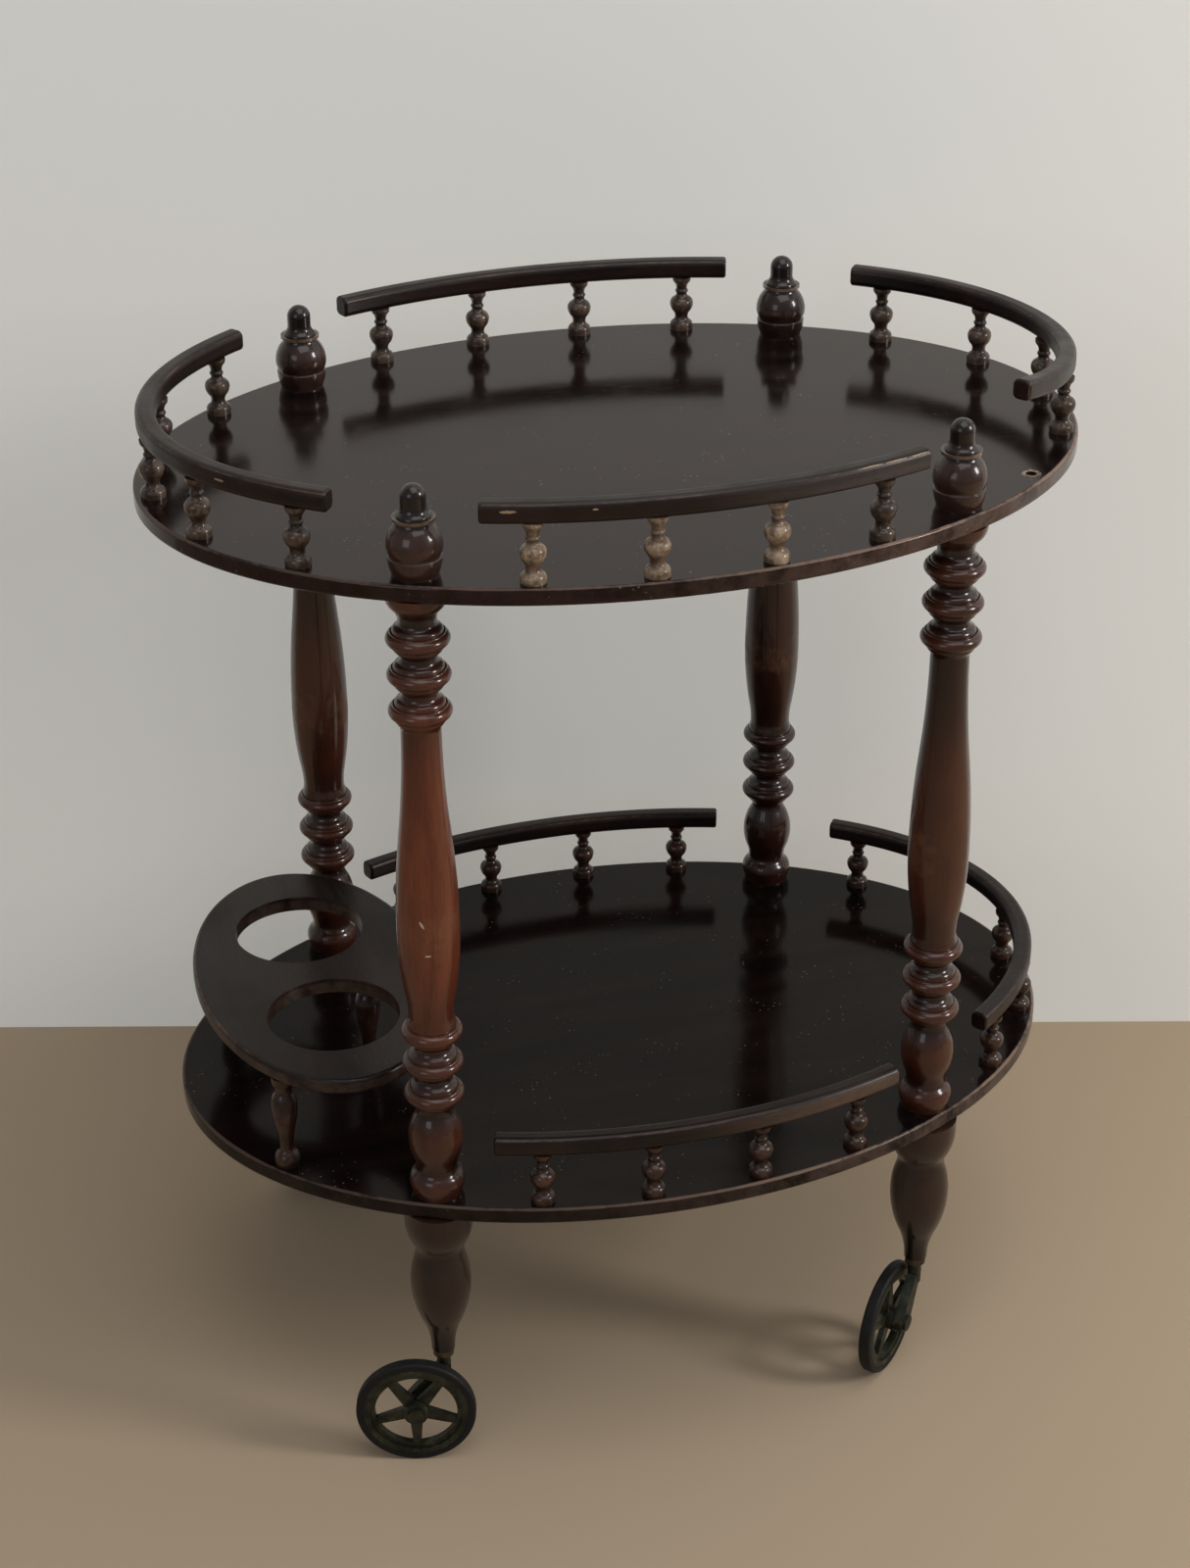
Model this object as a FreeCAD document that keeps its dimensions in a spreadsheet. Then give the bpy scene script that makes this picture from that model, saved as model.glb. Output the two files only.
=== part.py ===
import FreeCAD, Part
import math
import os
import re
import Sketcher

# An oval two-tier serving trolley. Z is up and the floor is at zero, with the origin under the middle of
# the shelves. X runs along the shelves and Y across them, so the front is at negative Y.

doc = FreeCAD.newDocument("serving_trolley")
sheet = doc.addObject("Spreadsheet::Sheet", "Dims")

# Driving dimensions, in millimetres and degrees. A climb is the height from one turned station to the next.
sizes = {
    # oval shelves
    "shelf_length": 608,
    "shelf_width": 428,
    "shelf_thickness": 11,
    "shelf_edge_round": 2,
    # places of the four uprights on the oval, and how much of a turned curve is full rather than hollow
    "upright_inset": 18.6,
    "upright_angle": 53.95,
    "bead_share": 0.62,
    "swell_share": 0.78,
    "even_share": 0.5,
    "hollow_share": 0.3,
    # posts
    "post_length": 422,
    "post_neck_radius": 11.5,
    "post_ring_radius": 19.2,
    "post_foot_radius": 16,
    "post_base_ring_radius": 17.8,
    "post_base_ring_climb": 10,
    "post_urn_neck_radius": 13.2,
    "post_urn_neck_climb": 10,
    "post_urn_radius": 17.6,
    "post_urn_climb": 22,
    "post_urn_top_climb": 23,
    "post_ring_shoulder_radius": 15.4,
    "post_ring_step_radius": 16.4,
    "post_ring_bead_climb": 4.6,
    "post_low_flank_rise": 6.4,
    "post_low_flank_fall": 7.4,
    "post_vase_foot_radius": 14.2,
    "post_vase_radius": 19.6,
    "post_vase_climb": 60,
    "post_vase_top_radius": 12.2,
    "post_high_flank_rise": 7.4,
    "post_high_flank_fall": 6.9,
    "post_cup_radius": 18.8,
    "post_cup_climb": 16.5,
    "post_cup_rim": 1.5,
    # finials
    "finial_base_radius": 13.9,
    "finial_waist_radius": 16,
    "finial_waist_climb": 11,
    "finial_line_radius": 15.2,
    "finial_line_climb": 1,
    "finial_body_radius": 16.7,
    "finial_body_climb": 6.5,
    "finial_shoulder_radius": 10.6,
    "finial_shoulder_climb": 15.5,
    "finial_disc_radius": 12.6,
    "finial_disc_thickness": 1.8,
    "finial_cap_foot_radius": 10.4,
    "finial_cap_radius": 7.6,
    "finial_cap_climb": 6.5,
    "finial_cap_straight": 5.6,
    # legs
    "leg_length": 116.5,
    "leg_tip_radius": 7.8,
    "leg_bulb_radius": 19.8,
    "leg_neck_radius": 15.8,
    "leg_neck_climb": 25.5,
    "leg_crown_radius": 22.4,
    "leg_crown_climb": 25,
    "leg_crown_rim": 9.5,
    "leg_taper_share": 0.57,
    # studs through the shelves
    "stud_radius": 4,
    "stud_reach": 22,
    "stud_clearance": 0.1,
    "stud_end_room": 2,
    # gallery rails
    "rail_inset": 11,
    "rail_width": 12.4,
    "rail_height": 13.2,
    "rail_edge_round": 3.9,
    "rail_end_round": 1.8,
    "side_rail_span": 55,
    "end_rail_span": 87,
    "side_spindle_step": 14.2,
    "end_spindle_step": 19.2,
    "rail_spring": 18,
    "rail_spring_start": 0.25,
    # gallery spindles
    "spindle_foot_radius": 7.8,
    "spindle_foot_rim": 3,
    "spindle_low_neck_radius": 4.4,
    "spindle_low_neck_climb": 6,
    "spindle_vase_radius": 8,
    "spindle_vase_climb": 9.5,
    "spindle_high_neck_radius": 3.6,
    "spindle_high_neck_climb": 7,
    "spindle_bead_radius": 4.4,
    "spindle_bead_climb": 1.75,
    "spindle_bead_fall": 1.75,
    "spindle_collar_radius": 6.2,
    "spindle_collar_climb": 6.5,
    "spindle_collar_rim": 1.5,
    "pin_radius": 3,
    "pin_length": 6,
    "pin_clearance": 0.1,
    "pin_end_room": 0.8,
    # bottle rack
    "rack_length": 272,
    "rack_width": 160,
    "rack_thickness": 10.5,
    "rack_edge_round": 3,
    "bottle_hole_radius": 43.5,
    "bottle_wall": 25,
    "rack_column_inset": 8.2,
    "rack_column_angle": 52.2,
    "inner_column_inset": 46,
    "column_foot_radius": 8,
    "column_ring_radius": 8.4,
    "column_ring_climb": 4,
    "column_neck_radius": 4.6,
    "column_neck_climb": 9,
    "column_vase_radius": 8.6,
    "column_vase_climb": 33,
    "column_high_neck_radius": 5.6,
    "column_high_neck_climb": 11,
    "column_collar_radius": 7.4,
    "column_collar_climb": 8,
    "column_collar_rim": 3,
    # casters
    "caster_height": 84.5,
    "socket_collar_radius": 7,
    "socket_collar_height": 5,
    "socket_sleeve_radius": 4.7,
    "socket_sleeve_length": 30,
    "socket_clearance": 0.05,
    "pintle_radius": 3.5,
    "pintle_clearance": 0.08,
    "pintle_end_room": 2,
    "swivel_gap": 0.3,
    "stem_radius": 4.6,
    "stem_length": 9,
    "arm_thickness": 7,
    "arm_boss_radius": 7.5,
    "caster_trail": 19,
    "left_heading": 164,
    "right_heading": 224,
    "axle_radius": 3,
    "axle_clearance": 0.08,
    "axle_head_radius": 5.5,
    "axle_head_height": 2,
    "rivet_clearance": 0.02,
    "hub_side_gap": 0.4,
    # wheels
    "wheel_radius": 40,
    "wheel_offset": 10.5,
    "tyre_depth": 5,
    "tyre_width": 8.5,
    "tyre_edge_round": 2,
    "tyre_clearance": 0.05,
    "band_depth": 4,
    "band_width": 8,
    "web_depth": 3.5,
    "web_width": 5,
    "spoke_count": 5,
    "spoke_thickness": 4,
    "spoke_width_at_rim": 5,
    "spoke_width_at_hub": 9,
    "spoke_root": 1,
    "hub_radius": 8,
    "wheel_turn": 18,
}
for row, (name, size) in enumerate(sizes.items(), start=1):
    sheet.set(f"A{row}", name.replace("_", " "))
    sheet.set(f"B{row}", str(size))
    sheet.setAlias(f"B{row}", name)
doc.recompute()

# Heights that several pieces share
POST_FOOT = "caster_height + leg_length + shelf_thickness"
TOP_SHELF = POST_FOOT + " + post_length"
FINIAL_FOOT = TOP_SHELF + " + shelf_thickness"
SPINDLE_HEIGHT = (
    "spindle_foot_rim + spindle_low_neck_climb + spindle_vase_climb + spindle_high_neck_climb"
    " + spindle_bead_climb + spindle_bead_fall + spindle_collar_climb + spindle_collar_rim"
)
VASE_TOP_CLIMB = (
    "post_length - post_base_ring_climb - post_urn_neck_climb - post_urn_climb - post_urn_top_climb"
    " - 12*post_ring_bead_climb - 3*post_low_flank_rise - 3*post_low_flank_fall - post_vase_climb"
    " - 3*post_high_flank_rise - 3*post_high_flank_fall - post_cup_climb - post_cup_rim"
)
LEG_TAPER_CLIMB = "leg_length - leg_neck_climb - leg_crown_climb - leg_crown_rim"
COLUMN_HEIGHT = (
    "column_ring_climb + column_neck_climb + column_vase_climb"
    " + column_high_neck_climb + column_collar_climb + column_collar_rim"
)
PIN_HOLE_RADIUS = "pin_radius + pin_clearance"
PIN_HOLE_DEPTH = "pin_length + pin_end_room"
STUD_HOLE_RADIUS = "stud_radius + stud_clearance"
STUD_HOLE_DEPTH = "stud_reach + stud_end_room"
RIM_RADIUS = "wheel_radius - tyre_depth"
ARM_TOP = "caster_height - socket_collar_height - swivel_gap - stem_length"


def bind(text):
    """The sheet's own form of a sum or product of named sizes."""
    return re.sub(r"\b([a-z]+_[a-z_]+)\b", r"Dims.\1", text)


def value(text):
    """The number that a sum of named sizes, each with or without factors, comes to."""
    total = 0.0
    sign = 1
    for term in text.split():
        if term in "+-":
            sign = 1 if term == "+" else -1
            continue
        product = sign
        for factor in term.split("*"):
            product *= float(factor) if factor[0].isdigit() else float(sheet.get(factor))
        total += product
    return total


def place(piece, x="0", y="0", z="0"):
    """Puts a piece at named distances from the origin."""
    for axis, distance in zip("xyz", (x, y, z)):
        piece.setExpression(f"Placement.Base.{axis}", bind(distance))


def new_body(label):
    body = doc.addObject("PartDesign::Body", label)
    body.Label = label
    return body


def new_sketch(body, name, role):
    """A sketch on one of the body's own origin planes."""
    sketch = body.newObject("Sketcher::SketchObject", name)
    plane = next(feature for feature in body.Origin.OriginFeatures if feature.Role == role)
    sketch.AttachmentSupport = [(plane, "")]
    sketch.MapMode = "FlatFace"
    return sketch


class Outline:
    """A closed half section drawn from a start point by named moves, with its sizes bound to the sheet."""

    def __init__(self, sketch, radius, height):
        self.sketch = sketch
        self.edges = []
        self.rules = []
        self.sized = {}
        self.pen = None
        self.spot = (value(radius), value(height))
        self.first = (radius, height)

    def rule(self, *terms):
        self.rules.append(Sketcher.Constraint(*terms))

    def size(self, kind, ends, text):
        """A distance from the first end to the second, or a radius, that follows named sizes."""
        name = f"size_{len(self.rules)}"
        self.sized[name] = text
        self.rule(kind, *ends, value(text))
        self.rules[-1].Name = name

    def radius_at(self, edge, end, text):
        if text == "0":
            self.rule("PointOnObject", edge, end, -2)
        else:
            self.size("DistanceX", (-1, 1, edge, end), text)

    def height_at(self, edge, end, text):
        if text == "0":
            self.rule("PointOnObject", edge, end, -1)
        elif text.startswith("- "):
            self.size("DistanceY", (edge, end, -1, 1), text[2:])
        else:
            self.size("DistanceY", (-1, 1, edge, end), text)

    def add(self, edge, first_end, spot, joined=True):
        """Adds an edge whose first end meets the pen, and moves the pen to its other end."""
        self.edges.append(edge)
        index = len(self.edges) - 1
        if self.pen is None:
            self.radius_at(index, first_end, self.first[0])
            self.height_at(index, first_end, self.first[1])
        elif joined:
            self.rule("Coincident", *self.pen, index, first_end)
        self.pen = (index, 3 - first_end)
        self.spot = spot
        return index

    def line(self, x, y):
        return self.add(Part.LineSegment(FreeCAD.Vector(*self.spot, 0), FreeCAD.Vector(x, y, 0)), 1, (x, y))

    def arc(self, centre, radius, low, high, first_end, spot, joined=True):
        circle = Part.Circle(FreeCAD.Vector(*centre, 0), FreeCAD.Vector(0, 0, 1), radius)
        return self.add(Part.ArcOfCircle(circle, low, high), first_end, spot, joined)

    def across(self, radius):
        """A flat shoulder in or out to a radius."""
        edge = self.line(value(radius), self.spot[1])
        self.rule("Horizontal", edge)
        self.radius_at(edge, 2, radius)

    def along(self, climb, down=False):
        """A straight side up or down by a named length."""
        edge = self.line(self.spot[0], self.spot[1] + (-value(climb) if down else value(climb)))
        self.rule("Vertical", edge)
        ends = (edge, 2, edge, 1) if down else (edge, 1, edge, 2)
        self.size("DistanceY", ends, climb)

    def ogee(self, radius, climb, share):
        """Two tangent arcs to a station above, upright at both ends. The full arc takes the named share
        of the climb."""
        low_r, low_z = self.spot
        high_r = value(radius)
        high_z = low_z + value(climb)
        step = abs(high_r - low_r)
        rise = high_z - low_z
        sweep = 2 * math.atan2(step, rise)
        both_radii = (rise ** 2 + step ** 2) / (2 * step)
        widening = high_r > low_r
        full = value(share)
        low_part = 1 - full if widening else full
        side = 1 if widening else -1
        low_radius = both_radii * low_part
        high_radius = both_radii - low_radius
        turning = (low_r + side * step * low_part, low_z + rise * low_part)
        low_centre = (low_r + side * low_radius, low_z)
        high_centre = (high_r - side * high_radius, high_z)
        if widening:
            low_station, high_station = 2, 2
            low_span = (math.pi - sweep, math.pi)
            high_span = (-sweep, 0)
        else:
            low_station, high_station = 1, 1
            low_span = (0, sweep)
            high_span = (math.pi, math.pi + sweep)
        low = self.arc(low_centre, low_radius, *low_span, low_station, turning)
        high = self.arc(
            high_centre, high_radius, *high_span, 3 - high_station, (high_r, high_z), joined=False)
        low_turn = 3 - low_station
        high_turn = 3 - high_station
        self.rule("Tangent", low, low_turn, high, high_turn)
        self.rule("Horizontal", low, 3, low, low_station)
        self.rule("Horizontal", high, 3, high, high_station)
        self.radius_at(high, high_station, radius)
        self.size("DistanceY", (low, low_station, high, high_station), climb)
        full_ends = (high, high_turn, high, high_station) if widening else (low, low_station, low, low_turn)
        self.size("DistanceY", full_ends, re.sub(r"(^|[+-] )", rf"\g<1>{share}*", climb))

    def dome(self):
        """A half-round cap from the side to the axis."""
        radius, height = self.spot
        edge = self.arc((0, height), radius, 0, math.pi / 2, 1, (0, height + radius))
        self.rule("PointOnObject", edge, 3, -2)
        self.rule("PointOnObject", edge, 2, -2)
        self.rule("Horizontal", edge, 3, edge, 1)

    def close(self):
        """Joins the pen to the first point and writes the outline into the sketch."""
        edge = self.line(value(self.first[0]), value(self.first[1]))
        self.rule("Coincident", edge, 2, 0, 1)
        self.sketch.addGeometry(self.edges, False)
        self.sketch.addConstraint(self.rules)
        for name, text in self.sized.items():
            self.sketch.setExpression(f"Constraints.{name}", bind(text))


def revolve(body, sketch):
    solid = body.newObject("PartDesign::Revolution", sketch.Name + "_turned")
    solid.Profile = sketch
    solid.ReferenceAxis = (sketch, ["V_Axis"])
    solid.Angle = 360


def draw_end(outline, end, upward):
    """The pin or blind hole at one end of a turned piece, or a plain flat."""
    if end:
        kind, radius, length = end
        outline.across(radius)
        outline.along(length, down=kind == "hole")
    if upward:
        outline.across("0")


def turned(label, stations, foot=None, head=None, domed=False):
    """A wooden piece turned on its own Z axis and seated at zero. Each station after the first is a radius,
    the climb to it and the share of that climb that is full; with no share the side is straight, and with
    no climb it is a flat step. An end is a pin or a hole, with its radius and length."""
    body = new_body(label)
    start_radius, *others = stations
    start_height = "0"
    if foot:
        start_height = foot[2] if foot[0] == "hole" else "- " + foot[2]
    outline = Outline(new_sketch(body, label + "_profile", "XZ_Plane"), "0", start_height)
    draw_end(outline, foot, upward=False)
    outline.across(start_radius)
    for radius, climb, share in others:
        if climb is None:
            outline.across(radius)
        elif share is None:
            outline.along(climb)
        else:
            outline.ogee(radius, climb, share)
    if domed:
        outline.dome()
    else:
        draw_end(outline, head, upward=True)
    outline.close()
    revolve(body, outline.sketch)
    return body


def lathe(body, name, start, moves):
    """A straight-sided turned form: from a start radius and height, moves across to a radius, up or down."""
    outline = Outline(new_sketch(body, name, "XZ_Plane"), *start)
    for kind, text in moves:
        if kind == "across":
            outline.across(text)
        else:
            outline.along(text, down=kind == "down")
    outline.close()
    revolve(body, outline.sketch)
    return body


def circles(sketch, radii):
    """Circles about the sketch's origin."""
    for radius in radii:
        edge = sketch.addGeometry(
            Part.Circle(FreeCAD.Vector(0, 0, 0), FreeCAD.Vector(0, 0, 1), value(radius)), False)
        sketch.addConstraint(Sketcher.Constraint("Coincident", edge, 3, -1, 1))
        rule = sketch.addConstraint(Sketcher.Constraint("Radius", edge, value(radius)))
        sketch.setExpression(f"Constraints[{rule}]", bind(radius))


def pad(body, sketch, thickness):
    """A pad of equal depth on both sides of its sketch."""
    solid = body.newObject("PartDesign::Pad", sketch.Name + "_pad")
    solid.Profile = sketch
    solid.Midplane = True
    solid.setExpression("Length", bind(thickness))
    return solid


def ring_pad(body, name, radii, width):
    sketch = new_sketch(body, name, "XY_Plane")
    circles(sketch, radii)
    return pad(body, sketch, width)


def drill(name, radius, depth, x, y, z):
    """A round hole's tool, standing on the hole's lowest point."""
    tool = doc.addObject("Part::Cylinder", name)
    tool.setExpression("Radius", bind(radius))
    tool.setExpression("Height", bind(depth))
    place(tool, x, y, z)
    return tool


def bored(label, solid, tools):
    """The named sub-part: a solid less its hole tools."""
    tool_set = doc.addObject("Part::Compound", label + "_holes")
    tool_set.Links = tools
    piece = doc.addObject("Part::Cut", label)
    piece.Base = solid
    piece.Tool = tool_set
    piece.Label = label
    return piece


def mirrored(label, source, normal):
    """The same piece on the other side of the trolley's middle."""
    twin = doc.addObject("Part::Mirroring", label)
    twin.Label = label
    twin.Source = source
    twin.Normal = FreeCAD.Vector(*normal)
    return twin


def copied(name, source, x, y, z):
    """One more piece like the source, which is seated at the origin."""
    copy = doc.addObject("Part::Compound", name)
    copy.Links = [source]
    place(copy, x, y, z)
    return copy


def group(label, pieces):
    """Like pieces that share one node as separate solids."""
    together = doc.addObject("Part::Compound", label)
    together.Links = pieces
    together.Label = label
    return together


def oval_board(name, length, width, thickness, edge_round):
    """A flat oval board on the XY plane, with its long axis on X and both edges rounded."""
    oval = doc.addObject("Part::Ellipse", name + "_oval")
    oval.setExpression("MajorRadius", bind(f"{length} / 2"))
    oval.setExpression("MinorRadius", bind(f"{width} / 2"))
    slab = doc.addObject("Part::Extrusion", name + "_slab")
    slab.Base = oval
    slab.DirMode = "Custom"
    slab.Dir = FreeCAD.Vector(0, 0, 1)
    slab.Solid = True
    slab.setExpression("LengthFwd", bind(thickness))
    doc.recompute()
    rounded = doc.addObject("Part::Fillet", name + "_board")
    rounded.Base = slab
    radius = value(edge_round)
    rims = [i for i, edge in enumerate(slab.Shape.Edges, start=1) if edge.isClosed()]
    rounded.Edges = [(rim, radius, radius) for rim in rims]
    return oval, rounded


def gallery_spot(angle):
    """Where a point of the rails' line lies at an angle of its oval."""
    x = f"(shelf_length / 2 - rail_inset) * cos({angle})"
    y = f"(shelf_width / 2 - rail_inset) * sin({angle})"
    return x, y


nodes = []

# Corners, each with its name and its side along and across the trolley
corners = [
    ("front_left", -1, -1),
    ("front_right", 1, -1),
    ("rear_left", -1, 1),
    ("rear_right", 1, 1),
]


def upright_spot(along, across):
    """Where an upright stands on the shelves, near their edge and between the rails' ends."""
    x = f"{along} * (shelf_length / 2 - upright_inset) * cos(upright_angle)"
    y = f"{across} * (shelf_width / 2 - upright_inset) * sin(upright_angle)"
    return x, y


# Each rail: its name, the middle of its arc, its span and spindle step, and its spindles counted in steps.
# One spindle has gone from the right end of the top gallery, and its holes are left.
side_spindles = (-1.5, -0.5, 0.5, 1.5)
end_spindles = (-2, -1, 0, 1, 2)
rail_plans = {
    "back": (90, "side_rail_span", "side_spindle_step", side_spindles),
    "left": (180, "end_rail_span", "end_spindle_step", end_spindles),
    "front": (270, "side_rail_span", "side_spindle_step", side_spindles),
    "right": (0, "end_rail_span", "end_spindle_step", end_spindles),
}
lost_spindle = ("top", "right", -2)
tiers = {"top": FINIAL_FOOT, "lower": POST_FOOT}
galleries = [("top", side) for side in rail_plans]
galleries += [("lower", side) for side in rail_plans if side != "left"]


def spindle_spots(side):
    middle, _, step, counts = rail_plans[side]
    return {count: gallery_spot(f"{middle} + {count} * {step}") for count in counts}


def rail_section(name, angle, underside):
    """The rail's rounded section, standing on the rails' line at an angle of its oval and square to it."""
    section = doc.addObject("Sketcher::SketchObject", name)
    half_width = value("rail_width") / 2
    height = value("rail_height")
    round_off = value("rail_edge_round")
    low, high = round_off, height - round_off
    inner, outer = -half_width + round_off, half_width - round_off
    spots = [
        ((inner, 0), (outer, 0)), ((half_width, low), (half_width, high)),
        ((outer, height), (inner, height)), ((-half_width, high), (-half_width, low)),
    ]
    centres = [(outer, low), (outer, high), (inner, high), (inner, low)]
    normal = FreeCAD.Vector(0, 0, 1)
    edges = []
    for side, (first, last) in enumerate(spots):
        edges.append(Part.LineSegment(FreeCAD.Vector(*first, 0), FreeCAD.Vector(*last, 0)))
        corner = Part.Circle(FreeCAD.Vector(*centres[side], 0), normal, round_off)
        quarter = math.pi / 2
        edges.append(Part.ArcOfCircle(corner, (side - 1) * quarter, side * quarter))
    section.addGeometry(edges, False)
    rules = []
    for side in range(4):
        flat, corner = 2 * side, 2 * side + 1
        rules.append(Sketcher.Constraint("Tangent", flat, 2, corner, 1))
        rules.append(Sketcher.Constraint("Tangent", corner, 2, (flat + 2) % 8, 1))
        if side:
            rules.append(Sketcher.Constraint("Equal", 1, corner))
    rules.append(Sketcher.Constraint("PointOnObject", 0, 1, -1))
    rules.append(Sketcher.Constraint("Symmetric", 0, 1, 0, 2, -2))
    rules.append(Sketcher.Constraint("Vertical", 2))
    rules.append(Sketcher.Constraint("Horizontal", 4))
    rules.append(Sketcher.Constraint("Vertical", 6))
    section.addConstraint(rules)
    for kind, ends, text in (
        ("Radius", (1,), "rail_edge_round"),
        ("DistanceX", (6, 1, 2, 1), "rail_width"),
        ("DistanceY", (0, 1, 4, 2), "rail_height"),
    ):
        rule = section.addConstraint(Sketcher.Constraint(kind, *ends, value(text)))
        section.setExpression(f"Constraints[{rule}]", bind(text))
    turn = math.radians(value(angle))
    long_radius = value("shelf_length") / 2 - value("rail_inset")
    short_radius = value("shelf_width") / 2 - value("rail_inset")
    outward = FreeCAD.Vector(short_radius * math.cos(turn), long_radius * math.sin(turn), 0).normalize()
    section.Placement.Rotation = FreeCAD.Rotation(outward, normal, outward.cross(normal), "XYZ")
    place(section, *gallery_spot(angle), underside)
    return section


def level_rail(label, middle, span, height):
    """A rail bent to the oval and lying level."""
    line = doc.addObject("Part::Ellipse", label + "_line")
    line.setExpression("MajorRadius", bind("shelf_length / 2 - rail_inset"))
    line.setExpression("MinorRadius", bind("shelf_width / 2 - rail_inset"))
    line.setExpression("Angle1", bind(f"{middle or 360} - {span} / 2"))
    line.setExpression("Angle2", bind(f"{middle} + {span} / 2"))
    place(line, z=height)
    bent = doc.addObject("Part::Sweep", label + "_bent")
    bent.Sections = [rail_section(label + "_section", f"{middle} - 0.5*{span}", height)]
    bent.Spine = (line, ["Edge1"])
    bent.Solid = True
    return bent


def sprung_share(share):
    """How much of the spring a rail has at a share of its span from its middle: none behind its start."""
    start = value("rail_spring_start")
    return max(0, (start - share) / (start + 0.5)) ** 3


def sprung_rail(label, middle, span, height):
    """A rail bent to the oval whose free end has sprung up where it has lost its spindle."""
    stations = 12
    sections = []
    for station in range(stations + 1):
        share = station / stations - 0.5
        sign = "-" if share < 0 else "+"
        sections.append(rail_section(
            f"{label}_section_{station}", f"{middle} {sign} {abs(share):.6f}*{span}",
            f"{height} + rail_spring * {sprung_share(share):.6f}"))
    bent = doc.addObject("Part::Loft", label + "_bent")
    bent.Sections = sections
    bent.Solid = True
    return bent


def rounded_ends(label, bent):
    """A rail with the edges of its two upright end faces rounded off."""
    doc.recompute()
    ends = [
        face for face in bent.Shape.Faces
        if isinstance(face.Surface, Part.Plane) and abs(face.Surface.Axis.z) < 0.5
    ]
    rims = [
        count for count, edge in enumerate(bent.Shape.Edges, start=1)
        if any(edge.isSame(rim) for face in ends for rim in face.Edges)
    ]
    radius = value("rail_end_round")
    rounded = doc.addObject("Part::Fillet", label + "_rounded")
    rounded.Base = bent
    rounded.Edges = [(rim, radius, radius) for rim in rims]
    return rounded


def rail(tier, side):
    """One gallery rail on the oval, with blind holes under it for the spindles' pins."""
    label = f"{tier}_rail_{side}"
    middle, span, step, _ = rail_plans[side]
    height = f"{tiers[tier]} + {SPINDLE_HEIGHT}"
    sprung = (tier, side) == lost_spindle[:2]
    bent = rounded_ends(label, (sprung_rail if sprung else level_rail)(label, middle, span, height))
    tools = []
    for count, (x, y) in spindle_spots(side).items():
        lift = sprung_share(count * value(step) / value(span)) if sprung else 0
        depth = f"{PIN_HOLE_DEPTH} + rail_spring * {lift:.6f}"
        tools.append(drill(f"{label}_hole_{len(tools)}", PIN_HOLE_RADIUS, depth, x, y, height))
    return bored(label, bent, tools)


def gallery_spindle():
    """A small gallery spindle with a pin at each end, seated at the origin."""
    return turned("gallery_spindle", [
        "spindle_foot_radius",
        ("spindle_foot_radius", "spindle_foot_rim", None),
        ("spindle_low_neck_radius", "spindle_low_neck_climb", "even_share"),
        ("spindle_vase_radius", "spindle_vase_climb", "bead_share"),
        ("spindle_high_neck_radius", "spindle_high_neck_climb", "bead_share"),
        ("spindle_bead_radius", "spindle_bead_climb", "bead_share"),
        ("spindle_high_neck_radius", "spindle_bead_fall", "bead_share"),
        ("spindle_collar_radius", "spindle_collar_climb", "hollow_share"),
        ("spindle_collar_radius", "spindle_collar_rim", None),
    ], foot=("pin", "pin_radius", "pin_length"), head=("pin", "pin_radius", "pin_length"))


def shelf(label, height, tools):
    """An oval shelf with its holes, at the height of its underside."""
    oval, board = oval_board(label, "shelf_length", "shelf_width", "shelf_thickness", "shelf_edge_round")
    place(oval, z=height)
    return bored(label, board, tools)


# The columns of the bottle rack: two near its outer edge, which stand on the line of the gallery spindles,
# and one between the bottles on its inner side. The outer columns set the rack's place along the shelf.
COLUMN_ACROSS = "(rack_length / 2 - rack_column_inset) * sin(rack_column_angle)"
COLUMN_REACH = (
    "(shelf_length / 2 - rail_inset)"
    f" * sqrt(1 - ({COLUMN_ACROSS} / (shelf_width / 2 - rail_inset)) ^ 2)"
)
RACK_MIDDLE = f"(rack_width / 2 - rack_column_inset) * cos(rack_column_angle) - {COLUMN_REACH}"
rack_columns = {
    "front": (f"0 - {COLUMN_REACH}", f"0 - {COLUMN_ACROSS}"),
    "rear": (f"0 - {COLUMN_REACH}", COLUMN_ACROSS),
    "inner": (f"{RACK_MIDDLE} + rack_width / 2 - inner_column_inset", "0"),
}

# Shelves, each drilled for its studs, gallery pins and rack pins
for tier, label, underside in (
    ("lower", "lower_shelf", "caster_height + leg_length"),
    ("top", "top_shelf", TOP_SHELF),
):
    pin_spots = [spot for name, side in galleries if name == tier for spot in spindle_spots(side).values()]
    if tier == "lower":
        pin_spots += list(rack_columns.values())
    pin_floor = f"{underside} + shelf_thickness - {PIN_HOLE_DEPTH.replace('+', '-')}"
    tools = [
        drill(f"{label}_stud_hole_{name}", STUD_HOLE_RADIUS, "shelf_thickness",
              *upright_spot(along, across), underside)
        for name, along, across in corners
    ]
    for count, (x, y) in enumerate(pin_spots):
        tools.append(drill(f"{label}_pin_hole_{count}", PIN_HOLE_RADIUS, PIN_HOLE_DEPTH, x, y, pin_floor))
    nodes.append(shelf(label, underside, tools))


def stepped_ring(place_name, top_radius):
    """The stations of one ring of a post: hollow flanks, and a bead between two small steps."""
    return [
        ("post_ring_shoulder_radius", f"post_{place_name}_flank_rise", "even_share"),
        ("post_ring_step_radius", None, None),
        ("post_ring_radius", "post_ring_bead_climb", "swell_share"),
        ("post_ring_step_radius", "post_ring_bead_climb", "swell_share"),
        ("post_ring_shoulder_radius", None, None),
        (top_radius, f"post_{place_name}_flank_fall", "even_share"),
    ]


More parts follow.
